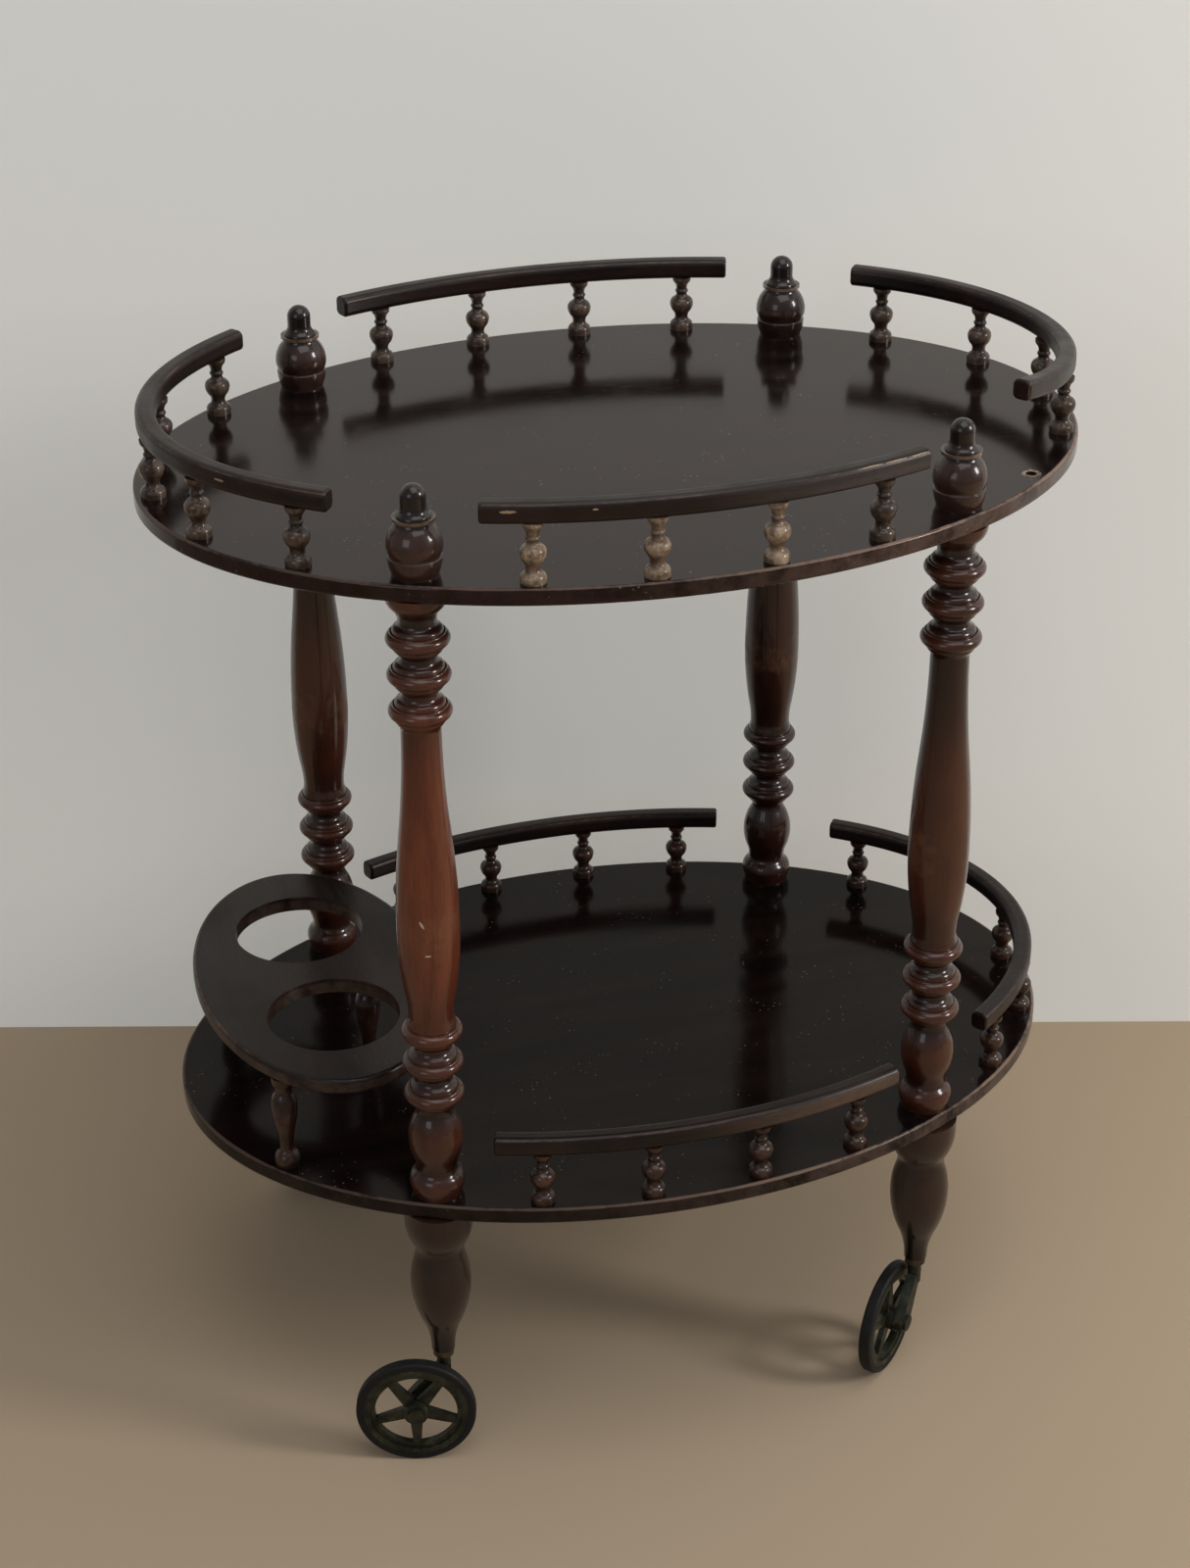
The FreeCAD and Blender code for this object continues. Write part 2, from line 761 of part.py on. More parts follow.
# Turned posts, finials and legs, held by studs through the shelves
stud_hole = ("hole", STUD_HOLE_RADIUS, STUD_HOLE_DEPTH)
socket_hole = ("hole", "socket_sleeve_radius + socket_clearance", "socket_sleeve_length + pintle_end_room")
post = turned("post_front_left", [
    "post_foot_radius",
    ("post_base_ring_radius", "post_base_ring_climb", "bead_share"),
    ("post_urn_neck_radius", "post_urn_neck_climb", "bead_share"),
    ("post_urn_radius", "post_urn_climb", "bead_share"),
    ("post_neck_radius", "post_urn_top_climb", "swell_share"),
    *stepped_ring("low", "post_neck_radius"),
    *stepped_ring("low", "post_neck_radius"),
    *stepped_ring("low", "post_vase_foot_radius"),
    ("post_vase_radius", "post_vase_climb", "swell_share"),
    ("post_vase_top_radius", VASE_TOP_CLIMB, "even_share"),
    *stepped_ring("high", "post_neck_radius"),
    *stepped_ring("high", "post_neck_radius"),
    *stepped_ring("high", "post_neck_radius"),
    ("post_cup_radius", "post_cup_climb", "even_share"),
    ("post_cup_radius", "post_cup_rim", None),
], foot=stud_hole, head=stud_hole)

finial = turned("finial_front_left", [
    "finial_base_radius",
    ("finial_waist_radius", "finial_waist_climb", "swell_share"),
    ("finial_line_radius", "finial_line_climb", "even_share"),
    ("finial_body_radius", "finial_body_climb", "swell_share"),
    ("finial_shoulder_radius", "finial_shoulder_climb", "swell_share"),
    ("finial_disc_radius", None, None),
    ("finial_disc_radius", "finial_disc_thickness", None),
    ("finial_cap_foot_radius", None, None),
    ("finial_cap_radius", "finial_cap_climb", "hollow_share"),
    ("finial_cap_radius", "finial_cap_straight", None),
], foot=stud_hole, domed=True)

leg = turned("leg_front_left", [
    "leg_tip_radius",
    ("leg_bulb_radius", LEG_TAPER_CLIMB, "leg_taper_share"),
    ("leg_neck_radius", "leg_neck_climb", "swell_share"),
    ("leg_crown_radius", "leg_crown_climb", "swell_share"),
    ("leg_crown_radius", "leg_crown_rim", None),
], foot=socket_hole, head=stud_hole)
uprights = (("post", post, POST_FOOT), ("finial", finial, FINIAL_FOOT), ("leg", leg, "caster_height"))
for kind, piece, foot in uprights:
    place(piece, *upright_spot(-1, -1), foot)
    front_right = mirrored(f"{kind}_front_right", piece, (1, 0, 0))
    rear_left = mirrored(f"{kind}_rear_left", piece, (0, 1, 0))
    rear_right = mirrored(f"{kind}_rear_right", front_right, (0, 1, 0))
    nodes += [piece, front_right, rear_left, rear_right]

for label, shelf_underside in (("finial_studs", TOP_SHELF), ("leg_studs", "caster_height + leg_length")):
    studs = []
    for name, along, across in corners:
        stud = lathe(new_body(f"{label}_{name}"), f"{label}_{name}_profile", ("0", "- stud_reach"), [
            ("across", "stud_radius"),
            ("up", "shelf_thickness + 2*stud_reach"),
            ("across", "0"),
        ])
        place(stud, *upright_spot(along, across), shelf_underside)
        studs.append(stud)
    nodes.append(group(label, studs))

# Gallery rails and their spindles
pattern = gallery_spindle()
for tier, side in galleries:
    nodes.append(rail(tier, side))
    spindles = []
    for count, (x, y) in spindle_spots(side).items():
        if (tier, side, count) == lost_spindle:
            continue
        spindles.append(copied(f"{tier}_spindle_{side}_{len(spindles)}", pattern, x, y, tiers[tier]))
    nodes.append(group(f"{tier}_spindles_{side}", spindles))

# Bottle rack: an oval board across the left end, with two bottle holes, on three turned columns
rack_height = f"{POST_FOOT} + {COLUMN_HEIGHT}"
oval, board = oval_board("bottle_rack", "rack_length", "rack_width", "rack_thickness", "rack_edge_round")
oval.Placement.Rotation = FreeCAD.Rotation(FreeCAD.Vector(0, 0, 1), 90)
place(oval, RACK_MIDDLE, "0", rack_height)
tools = [
    drill(f"bottle_hole_{name}", "bottle_hole_radius", "rack_thickness",
          RACK_MIDDLE, f"{across} * (bottle_hole_radius + bottle_wall / 2)", rack_height)
    for name, across in (("front", -1), ("rear", 1))
]
for name, (x, y) in rack_columns.items():
    tools.append(drill(f"rack_pin_hole_{name}", PIN_HOLE_RADIUS, PIN_HOLE_DEPTH, x, y, rack_height))
    column = turned(f"rack_column_{name}", [
        "column_foot_radius",
        ("column_ring_radius", "column_ring_climb", "bead_share"),
        ("column_neck_radius", "column_neck_climb", "bead_share"),
        ("column_vase_radius", "column_vase_climb", "even_share"),
        ("column_high_neck_radius", "column_high_neck_climb", "swell_share"),
        ("column_collar_radius", "column_collar_climb", "even_share"),
        ("column_collar_radius", "column_collar_rim", None),
    ], foot=("pin", "pin_radius", "pin_length"), head=("pin", "pin_radius", "pin_length"))
    place(column, x, y, POST_FOOT)
    nodes.append(column)
nodes.append(bored("bottle_rack", board, tools))


def tangent_line(spot, centre, radius, side):
    """Where the line from a point touches a circle, and the angle of that place on the circle."""
    across = centre[0] - spot[0]
    up = centre[1] - spot[1]
    aim = math.atan2(up, across) + side * math.asin(radius / math.hypot(across, up))
    angle = aim + side * math.pi / 2
    return (centre[0] + radius * math.cos(angle), centre[1] + radius * math.sin(angle)), angle


def caster_arm(label):
    """The one-sided arm: a tapered bar from the stem down to the axle boss, with the stem and pintle."""
    body = new_body(label)
    sketch = new_sketch(body, label + "_bar", "XZ_Plane")
    half = value("stem_radius")
    top = value(ARM_TOP)
    centre = (value("caster_trail"), value("wheel_radius"))
    boss = value("arm_boss_radius")
    right_touch, right_angle = tangent_line((half, top), centre, boss, 1)
    left_touch, left_angle = tangent_line((-half, top), centre, boss, -1)
    corners_xy = [(-half, top), (half, top), right_touch, left_touch]
    upper_left, upper_right, right_end, left_end = [FreeCAD.Vector(*spot, 0) for spot in corners_xy]
    normal = FreeCAD.Vector(0, 0, 1)
    middle = FreeCAD.Vector(*centre, 0)
    sketch.addGeometry([
        Part.LineSegment(upper_left, upper_right),
        Part.LineSegment(upper_right, right_end),
        Part.ArcOfCircle(Part.Circle(middle, normal, boss), left_angle, right_angle),
        Part.LineSegment(left_end, upper_left),
        Part.Circle(middle, normal, value("axle_radius + rivet_clearance")),
    ], False)
    sketch.addConstraint([
        Sketcher.Constraint("Horizontal", 0),
        Sketcher.Constraint("Coincident", 0, 2, 1, 1),
        Sketcher.Constraint("Tangent", 1, 2, 2, 2),
        Sketcher.Constraint("Tangent", 2, 1, 3, 1),
        Sketcher.Constraint("Coincident", 3, 2, 0, 1),
        Sketcher.Constraint("Coincident", 4, 3, 2, 3),
    ])
    for kind, ends, text in (
        ("DistanceX", (0, 1, -1, 1), "stem_radius"),
        ("DistanceX", (-1, 1, 0, 2), "stem_radius"),
        ("DistanceY", (-1, 1, 0, 1), ARM_TOP),
        ("DistanceX", (-1, 1, 2, 3), "caster_trail"),
        ("DistanceY", (-1, 1, 2, 3), "wheel_radius"),
        ("Radius", (2,), "arm_boss_radius"),
        ("Radius", (4,), "axle_radius + rivet_clearance"),
    ):
        rule = sketch.addConstraint(Sketcher.Constraint(kind, *ends, value(text)))
        sketch.setExpression(f"Constraints[{rule}]", bind(text))
    pad(body, sketch, "arm_thickness")
    return lathe(body, label + "_stem", ("0", f"{ARM_TOP} - arm_thickness"), [
        ("across", "stem_radius"),
        ("up", "stem_length + arm_thickness"),
        ("across", "pintle_radius"),
        ("up", "swivel_gap + socket_collar_height + socket_sleeve_length"),
        ("across", "0"),
    ])


def wheel_body(label):
    """A cast wheel about its own Z axis: band, web, tapered spokes and hub."""
    body = new_body(label)
    band_foot = f"{RIM_RADIUS} - band_depth"
    web_foot = f"{band_foot} - web_depth"
    ring_pad(body, label + "_band", (RIM_RADIUS, band_foot), "band_width")
    ring_pad(body, label + "_web", (f"{band_foot} + spoke_root", web_foot), "web_width")
    sketch = new_sketch(body, label + "_spoke", "XY_Plane")
    inner = "axle_radius + axle_clearance + spoke_root"
    outer = f"{web_foot} + spoke_root"
    near, far = value(inner), value(outer)
    wide, slim = value("0.5*spoke_width_at_hub"), value("0.5*spoke_width_at_rim")
    spots = [(near, -wide), (far, -slim), (far, slim), (near, wide)]
    for count, spot in enumerate(spots):
        sketch.addGeometry(Part.LineSegment(
            FreeCAD.Vector(*spot, 0), FreeCAD.Vector(*spots[(count + 1) % 4], 0)), False)
    sketch.addConstraint([Sketcher.Constraint("Coincident", n, 2, (n + 1) % 4, 1) for n in range(4)])
    sketch.addConstraint([Sketcher.Constraint("Symmetric", 0, 1, 3, 1, -1)])
    sketch.addConstraint([Sketcher.Constraint("Symmetric", 0, 2, 2, 1, -1)])
    for kind, ends, text in (
        ("DistanceX", (-1, 1, 0, 1), inner),
        ("DistanceX", (-1, 1, 0, 2), outer),
        ("DistanceY", (0, 1, 3, 1), "spoke_width_at_hub"),
        ("DistanceY", (0, 2, 2, 1), "spoke_width_at_rim"),
    ):
        rule = sketch.addConstraint(Sketcher.Constraint(kind, *ends, value(text)))
        sketch.setExpression(f"Constraints[{rule}]", bind(text))
    spoke = pad(body, sketch, "spoke_thickness")
    doc.recompute()
    spokes = body.newObject("PartDesign::PolarPattern", label + "_spokes")
    spokes.Originals = [spoke]
    spokes.Axis = (sketch, ["N_Axis"])
    spokes.Angle = 360
    spokes.setExpression("Occurrences", bind("spoke_count"))
    body.Tip = spokes
    ring_pad(body, label + "_hub", ("hub_radius", "axle_radius + axle_clearance"),
             "2*wheel_offset - arm_thickness - 2*hub_side_gap")
    return body


def tyre_body(label):
    """A rubber band with rounded shoulders, about its own Z axis."""
    body = new_body(label)
    band = ring_pad(body, label + "_ring", ("wheel_radius", f"{RIM_RADIUS} + tyre_clearance"), "tyre_width")
    doc.recompute()
    tread = value("wheel_radius")
    shoulders = [
        f"Edge{count}" for count, edge in enumerate(band.Shape.Edges, start=1)
        if edge.isClosed() and abs(edge.Curve.Radius - tread) < 1e-6
    ]
    rounded = body.newObject("PartDesign::Fillet", label + "_shoulders")
    rounded.Base = (band, shoulders)
    rounded.setExpression("Radius", bind("tyre_edge_round"))
    return body


# Casters. Each trails behind its swivel on its own heading, and its wheel stands on the outer side.
for name, along, across in corners:
    x, y = upright_spot(along, across)
    heading = "left_heading" if along < 0 else "right_heading"
    wheel_side = 1 if along < 0 else -1
    swivel = FreeCAD.Rotation(FreeCAD.Vector(0, 0, 1), value(heading))
    socket = lathe(new_body(f"caster_socket_{name}"), f"caster_socket_{name}_profile",
                   ("pintle_radius + pintle_clearance", "caster_height - socket_collar_height"), [
        ("across", "socket_collar_radius"),
        ("up", "socket_collar_height"),
        ("across", "socket_sleeve_radius"),
        ("up", "socket_sleeve_length"),
        ("across", "pintle_radius + pintle_clearance"),
    ])
    place(socket, x, y)

    arm = caster_arm(f"caster_arm_{name}")
    arm.Placement.Rotation = swivel
    place(arm, x, y)

    # The wheel and the axle turn about a level line across the heading
    level = swivel.multiply(FreeCAD.Rotation(FreeCAD.Vector(1, 0, 0), -90 * wheel_side))

    def beside(distance):
        """A spot on the axle's line, at a distance from the arm towards the wheel."""
        offset = f"{wheel_side} * ({distance})"
        spot_x = f"{x} + caster_trail * cos({heading}) - {offset} * sin({heading})"
        spot_y = f"{y} + caster_trail * sin({heading}) + {offset} * cos({heading})"
        return spot_x, spot_y, "wheel_radius"

    axle = lathe(new_body(f"axle_{name}"), f"axle_{name}_profile", ("0", "- axle_head_height"), [
        ("across", "axle_head_radius"),
        ("up", "axle_head_height"),
        ("across", "axle_radius"),
        ("up", "2*wheel_offset"),
        ("across", "axle_head_radius"),
        ("up", "axle_head_height"),
        ("across", "0"),
    ])
    wheel = wheel_body(f"wheel_{name}")
    tyre = tyre_body(f"tyre_{name}")
    for piece, distance in ((axle, "0 - arm_thickness / 2"), (wheel, "wheel_offset"), (tyre, "wheel_offset")):
        piece.Placement.Rotation = level
        place(piece, *beside(distance))
    wheel.Placement.Rotation = level.multiply(FreeCAD.Rotation(FreeCAD.Vector(0, 0, 1), value("wheel_turn")))
    nodes += [socket, arm, axle, wheel, tyre]

doc.recompute()

for piece in doc.Objects:
    if {"Invalid", "Error"} & set(piece.State):
        raise RuntimeError(f"{piece.Label} is {piece.State}")
for node in nodes:
    if node.Shape.isNull() or not node.Shape.isValid():
        raise RuntimeError(f"{node.Label} has no valid shape")

os.makedirs("parts", exist_ok=True)
for node in nodes:
    node.Shape.exportStep(f"parts/{node.Label}.step")
    box = node.Shape.BoundBox
    print(f"{node.Label}: {len(node.Shape.Solids)} solids, {node.Shape.Volume:.0f} mm3,"
          f" z {box.ZMin:.1f} to {box.ZMax:.1f}")
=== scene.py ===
import math

import bpy
from mathutils import Euler, Matrix, Vector


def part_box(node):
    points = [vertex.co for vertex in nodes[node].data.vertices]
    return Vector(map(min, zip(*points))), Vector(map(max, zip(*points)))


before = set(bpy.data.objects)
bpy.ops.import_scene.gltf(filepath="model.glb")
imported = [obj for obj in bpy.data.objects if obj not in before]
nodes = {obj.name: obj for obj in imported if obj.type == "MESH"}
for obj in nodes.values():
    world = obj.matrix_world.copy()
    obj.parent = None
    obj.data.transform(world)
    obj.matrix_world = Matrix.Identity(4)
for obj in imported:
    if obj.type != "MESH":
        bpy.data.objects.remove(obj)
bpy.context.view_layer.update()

# Oval shelves
# Two boards of close-grained hardwood, stained almost black and lacquered to a deep gloss. Their rounded
# edges are worn brown in patches and painted paler toward the right as painted light, and the top one shows
# the bare hole of a lost spindle.


def add_node(tree, kind, inputs=None, **settings):
    """A shader node with its settings, and its inputs set or joined by name or number."""
    made = tree.nodes.new(kind)
    for name, setting in settings.items():
        setattr(made, name, setting)
    for name, source in (inputs or {}).items():
        if isinstance(source, bpy.types.NodeSocket):
            tree.links.new(source, made.inputs[name])
        else:
            made.inputs[name].default_value = source
    return made


def calc(tree, operation, first, second=0.0, clamp=False):
    """One step of arithmetic on values that vary over a surface."""
    made = add_node(tree, "ShaderNodeMath", {0: first, 1: second}, operation=operation, use_clamp=clamp)
    return made.outputs[0]


def ramp(tree, value, low, high, to_low=0.0, to_high=1.0):
    """A smooth step from one value to another."""
    made = add_node(tree, "ShaderNodeMapRange", {
        "Value": value, "From Min": low, "From Max": high, "To Min": to_low, "To Max": to_high,
    }, interpolation_type="SMOOTHSTEP")
    return made.outputs["Result"]


def mixed(tree, factor, first, second, blend="MIX"):
    """A mix of two colours."""
    inputs = {0: factor, 6: first, 7: second}
    return add_node(tree, "ShaderNodeMix", inputs, data_type="RGBA", blend_type=blend).outputs[2]


def noise(tree, vector, scale, detail=3.0, roughness=0.5, distortion=0.0):
    """Cloudy noise over a surface, from 0 to 1."""
    made = add_node(tree, "ShaderNodeTexNoise", {
        "Vector": vector, "Scale": scale, "Detail": detail, "Roughness": roughness, "Distortion": distortion,
    })
    return made.outputs["Fac"]


def stretched(tree, vector, scale):
    """Texture space drawn out along the grain."""
    return add_node(tree, "ShaderNodeMapping", {"Vector": vector, "Scale": scale}).outputs["Vector"]


def new_group(name, inputs, outputs):
    """An empty shader node group with named sockets: its tree, its inputs and its output node."""
    tree = bpy.data.node_groups.new(name, "ShaderNodeTree")
    for socket, kind in inputs:
        tree.interface.new_socket(socket, in_out="INPUT", socket_type=kind)
    for socket, kind in outputs:
        tree.interface.new_socket(socket, in_out="OUTPUT", socket_type=kind)
    entry = tree.nodes.new("NodeGroupInput")
    leave = tree.nodes.new("NodeGroupOutput")
    return tree, entry.outputs, leave.inputs


def placed(tree, group, **inputs):
    """A node group in a material, with its inputs by name. An underscore stands for a space."""
    values = {name.replace("_", " "): value for name, value in inputs.items()}
    return add_node(tree, "ShaderNodeGroup", values, node_tree=group).outputs


def grain_group():
    """Wood grain along the first axis of its vector: slow bands, fine fibres and open pores."""
    tree, given, found = new_group(
        "wood grain", [("Vector", "NodeSocketVector")],
        [("Tone", "NodeSocketFloat"), ("Fibre", "NodeSocketFloat"), ("Pores", "NodeSocketFloat")])
    vector = given["Vector"]
    bands = noise(tree, stretched(tree, vector, (1.6, 16, 16)), 2.4, 3, 0.5, 1.1)
    fibre = noise(tree, stretched(tree, vector, (7, 190, 190)), 3.2, 6, 0.62, 0.3)
    pores = noise(tree, stretched(tree, vector, (26, 520, 520)), 2.2, 2, 0.5)
    tone = calc(tree, "ADD", calc(tree, "MULTIPLY", bands, 0.6), calc(tree, "MULTIPLY", fibre, 0.4))
    tree.links.new(ramp(tree, tone, 0.34, 0.68), found["Tone"])
    tree.links.new(fibre, found["Fibre"])
    tree.links.new(ramp(tree, pores, 0.6, 0.72), found["Pores"])
    return tree


def wear_group():
    """Patchy rubbing: where a mask of corners has worn through, in broken spots."""
    tree, given, found = new_group(
        "rubbed wear", [
            ("Vector", "NodeSocketVector"), ("Corner", "NodeSocketFloat"), ("Amount", "NodeSocketFloat"),
        ], [("Rubbed", "NodeSocketFloat")])
    patches = calc(tree, "MULTIPLY", noise(tree, given["Vector"], 16, 4, 0.65), 0.7)
    specks = calc(tree, "MULTIPLY", noise(tree, given["Vector"], 150, 3, 0.6), 0.3)
    spread = calc(tree, "ADD", calc(tree, "ADD", patches, specks), given["Amount"])
    reach = calc(tree, "ADD", spread, calc(tree, "MULTIPLY", given["Corner"], 0.3))
    worn = calc(tree, "MULTIPLY", ramp(tree, reach, 0.74, 0.94), given["Corner"], clamp=True)
    tree.links.new(worn, found["Rubbed"])
    return tree


def oval_group():
    """How far a point lies outside an oval line, in metres, seen from above."""
    tree, given, found = new_group(
        "oval line", [
            ("Vector", "NodeSocketVector"), ("Long", "NodeSocketFloat"), ("Short", "NodeSocketFloat"),
        ], [("Outside", "NodeSocketFloat")])
    place = add_node(tree, "ShaderNodeSeparateXYZ", {0: given["Vector"]}).outputs
    shares = [calc(tree, "DIVIDE", place[axis], given[name]) for axis, name in ((0, "Long"), (1, "Short"))]
    squares = [calc(tree, "MULTIPLY", share, share) for share in shares]
    level = calc(tree, "SUBTRACT", calc(tree, "ADD", *squares), 1.0)
    slopes = [calc(tree, "DIVIDE", share, given[name]) for share, name in zip(shares, ("Long", "Short"))]
    steep = calc(tree, "ADD", *[calc(tree, "MULTIPLY", slope, slope) for slope in slopes])
    fall = calc(tree, "MULTIPLY", calc(tree, "SQRT", steep), 2.0)
    tree.links.new(calc(tree, "DIVIDE", level, fall), found["Outside"])
    return tree


def dust_group():
    """What lies on a lacquered top: fine specks, rubbed arcs and the dull film between them."""
    tree, given, found = new_group(
        "settled dust", [("Vector", "NodeSocketVector")],
        [("Specks", "NodeSocketFloat"), ("Film", "NodeSocketFloat"), ("Scratches", "NodeSocketFloat")])
    vector = given["Vector"]
    specks = add_node(tree, "ShaderNodeTexVoronoi", {"Vector": vector, "Scale": 210.0}).outputs["Distance"]
    sparse = ramp(tree, noise(tree, vector, 34, 2), 0.5, 0.66)
    lines = noise(tree, stretched(tree, vector, (9, 240, 20)), 5, 4, 0.6, 2.2)
    tree.links.new(calc(tree, "MULTIPLY", ramp(tree, specks, 0.16, 0.05), sparse), found["Specks"])
    tree.links.new(ramp(tree, noise(tree, vector, 7, 5, 0.6, 0.6), 0.35, 0.72), found["Film"])
    tree.links.new(ramp(tree, lines, 0.67, 0.71), found["Scratches"])
    return tree


wood_grain = grain_group()
rubbed_wear = wear_group()
oval_line = oval_group()
settled_dust = dust_group()


def new_finish(name):
    """An empty material with its shader, and the object's own coordinates: tree, shader, coordinates."""
    material = bpy.data.materials.new(name)
    material.use_nodes = True
    tree = material.node_tree
    shader = tree.nodes["Principled BSDF"]
    coordinates = add_node(tree, "ShaderNodeTexCoord").outputs["Object"]
    return material, tree, shader, coordinates


def relief(tree, shader, height, depth):
    """A fine surface relief of a real depth, in metres."""
    bump = add_node(tree, "ShaderNodeBump", {"Height": height, "Distance": depth, "Strength": 1.0})
    tree.links.new(bump.outputs["Normal"], shader.inputs["Normal"])


def dress(names, material):
    """Gives CAD nodes their finish."""
    for name in names:
        nodes[name].data.materials.clear()
        nodes[name].data.materials.append(material)


def board_finish(name, board, sheen, cast, bare_hole=None):
    """Near-black lacquered board with rubbed edges, painted paler toward the right as painted light. A bare
    hole leaves a pale ring of unstained wood.
    """
    stain_dark = (0.0032, 0.0021, 0.0019, 1)
    stain_light = (0.011, 0.0054, 0.0046, 1)
    rubbed_brown = (0.2, 0.135, 0.1, 1)
    bare_wood = (0.42, 0.3, 0.2, 1)
    dust = (0.3, 0.28, 0.27, 1)
    edge_dark = (0.03, 0.018, 0.013, 1)
    edge_pale_lit = (0.082, 0.056, 0.047, 1)
    hole_shade = (0.01, 0.006, 0.005, 1)
    low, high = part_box(board)
    material, tree, shader, coordinates = new_finish(name)
    grain = placed(tree, wood_grain, Vector=coordinates)
    colour = mixed(tree, grain["Tone"], stain_dark, stain_light)
    outside = placed(tree, oval_line, Vector=coordinates, Long=high.x, Short=high.y)["Outside"]
    side = ramp(tree, outside, -0.0024, -0.0004)
    place = add_node(tree, "ShaderNodeSeparateXYZ", {0: coordinates}).outputs
    # Painted light: the edge colour and the rubbed rim grow paler toward the right, where the window light
    # falls.
    window_lit_rightward = ramp(tree, place["X"], -0.15, 0.2, 0.3, 1.0)
    patches = ramp(tree, noise(tree, coordinates, 60, 5, 0.7), 0.28, 0.66)
    edge_wear_and_light = calc(tree, "MULTIPLY", patches, window_lit_rightward)
    edge_brown_lit_right = mixed(tree, window_lit_rightward, edge_dark, edge_pale_lit)
    colour = mixed(tree, calc(tree, "MULTIPLY", side, edge_wear_and_light), colour, edge_brown_lit_right)
    rim = calc(tree, "MULTIPLY", ramp(tree, outside, -0.0032, -0.0014), ramp(
        tree, outside, 0.0002, -0.0003))
    upper = ramp(tree, place["Z"], high.z - 0.0026, high.z - 0.0005)
    lower = ramp(tree, place["Z"], low.z + 0.0022, low.z + 0.0006, 0, 0.5)
    corner = calc(tree, "ADD", calc(tree, "MULTIPLY", rim, upper), calc(tree, "MULTIPLY", side, lower),
                  clamp=True)
    rubbed = placed(tree, rubbed_wear, Vector=coordinates, Corner=corner, Amount=0.1)["Rubbed"]
    colour = mixed(tree, calc(tree, "MULTIPLY", rubbed, window_lit_rightward), colour, rubbed_brown)
    film = placed(tree, settled_dust, Vector=coordinates)
    colour = mixed(tree, calc(tree, "MULTIPLY", film["Specks"], 0.5), colour, dust)
    if bare_hole:
        offset = add_node(tree, "ShaderNodeVectorMath", {0: coordinates, 1: bare_hole}, operation="DISTANCE")
        ring = offset.outputs["Value"]
        ragged = calc(tree, "ADD", ring, calc(tree, "MULTIPLY", noise(tree, coordinates, 420, 3), 0.008))
        bare = calc(tree, "MULTIPLY", ramp(tree, ragged, 0.0104, 0.009), ramp(
            tree, noise(tree, coordinates, 190, 3), 0.36, 0.56, 0.3, 0.9))
        colour = mixed(tree, bare, colour, bare_wood)
        colour = mixed(tree, ramp(tree, ring, 0.0042, 0.0033), colour, hole_shade)
    tree.links.new(colour, shader.inputs["Base Color"])
    dull = calc(tree, "ADD", calc(tree, "MULTIPLY", film["Film"], 0.07), calc(
        tree, "MULTIPLY", rubbed, 0.3))
    tree.links.new(calc(tree, "ADD", dull, 0.1), shader.inputs["Roughness"])
    shader.inputs["Specular IOR Level"].default_value = sheen
    shader.inputs["Specular Tint"].default_value = cast
    fine = calc(tree, "SUBTRACT", calc(tree, "MULTIPLY", grain["Fibre"], 0.4), calc(
        tree, "ADD", calc(tree, "MULTIPLY", grain["Pores"], 0.3), calc(
            tree, "MULTIPLY", film["Scratches"], 0.2)))
    relief(tree, shader, fine, 0.00002)
    return material


end_spindle_step_degrees = 19.2
lost_pin_angle = math.radians(-2 * end_spindle_step_degrees)
pin_line = (0.293, 0.203)
shelf_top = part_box("top_shelf")[1].z
lost_pin = (pin_line[0] * math.cos(lost_pin_angle), pin_line[1] * math.sin(lost_pin_angle), shelf_top)
dress(["top_shelf"], board_finish(
    "black mahogany top", "top_shelf", 0.34, (1.0, 0.7, 0.66, 1), lost_pin))
dress(["lower_shelf"], board_finish(
    "black mahogany lower shelf", "lower_shelf", 0.16, (1.0, 0.95, 0.9, 1)))

# Turned posts, finials and legs
# Hardwood spindles cut on a lathe, stained red-brown and lacquered. The stain is darkest in the hollows
# between the rings and thinnest on the swellings, and the hollows are painted darker as painted shade too.
# The front left post has faded most. The pieces at the rear right are painted darker, as painted shade.
upright_low, upright_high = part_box("post_front_right")
upright_spot = ((upright_low.x + upright_high.x) / 2, -(upright_low.y + upright_high.y) / 2)


def turning_group():
    """Distance from the nearest upright's own axis."""
    tree, given, found = new_group(
        "turned radius", [("Vector", "NodeSocketVector")], [("Radius", "NodeSocketFloat")])
    place = add_node(tree, "ShaderNodeSeparateXYZ", {0: given["Vector"]}).outputs
    across = [
        calc(tree, "SUBTRACT", calc(tree, "ABSOLUTE", place[axis]), upright_spot[axis]) for axis in (0, 1)
    ]
    squares = [calc(tree, "MULTIPLY", part, part) for part in across]
    tree.links.new(calc(tree, "SQRT", calc(tree, "ADD", *squares)), found["Radius"])
    return tree


turned_radius = turning_group()


def upright_grain(tree, coordinates):
    """Grain that runs up the piece: the height goes to the grain's own first axis."""
    place = add_node(tree, "ShaderNodeSeparateXYZ", {0: coordinates}).outputs
    turned = add_node(tree, "ShaderNodeCombineXYZ", {"X": place["Z"], "Y": place["X"], "Z": place["Y"]})
    return placed(tree, wood_grain, Vector=turned.outputs["Vector"])


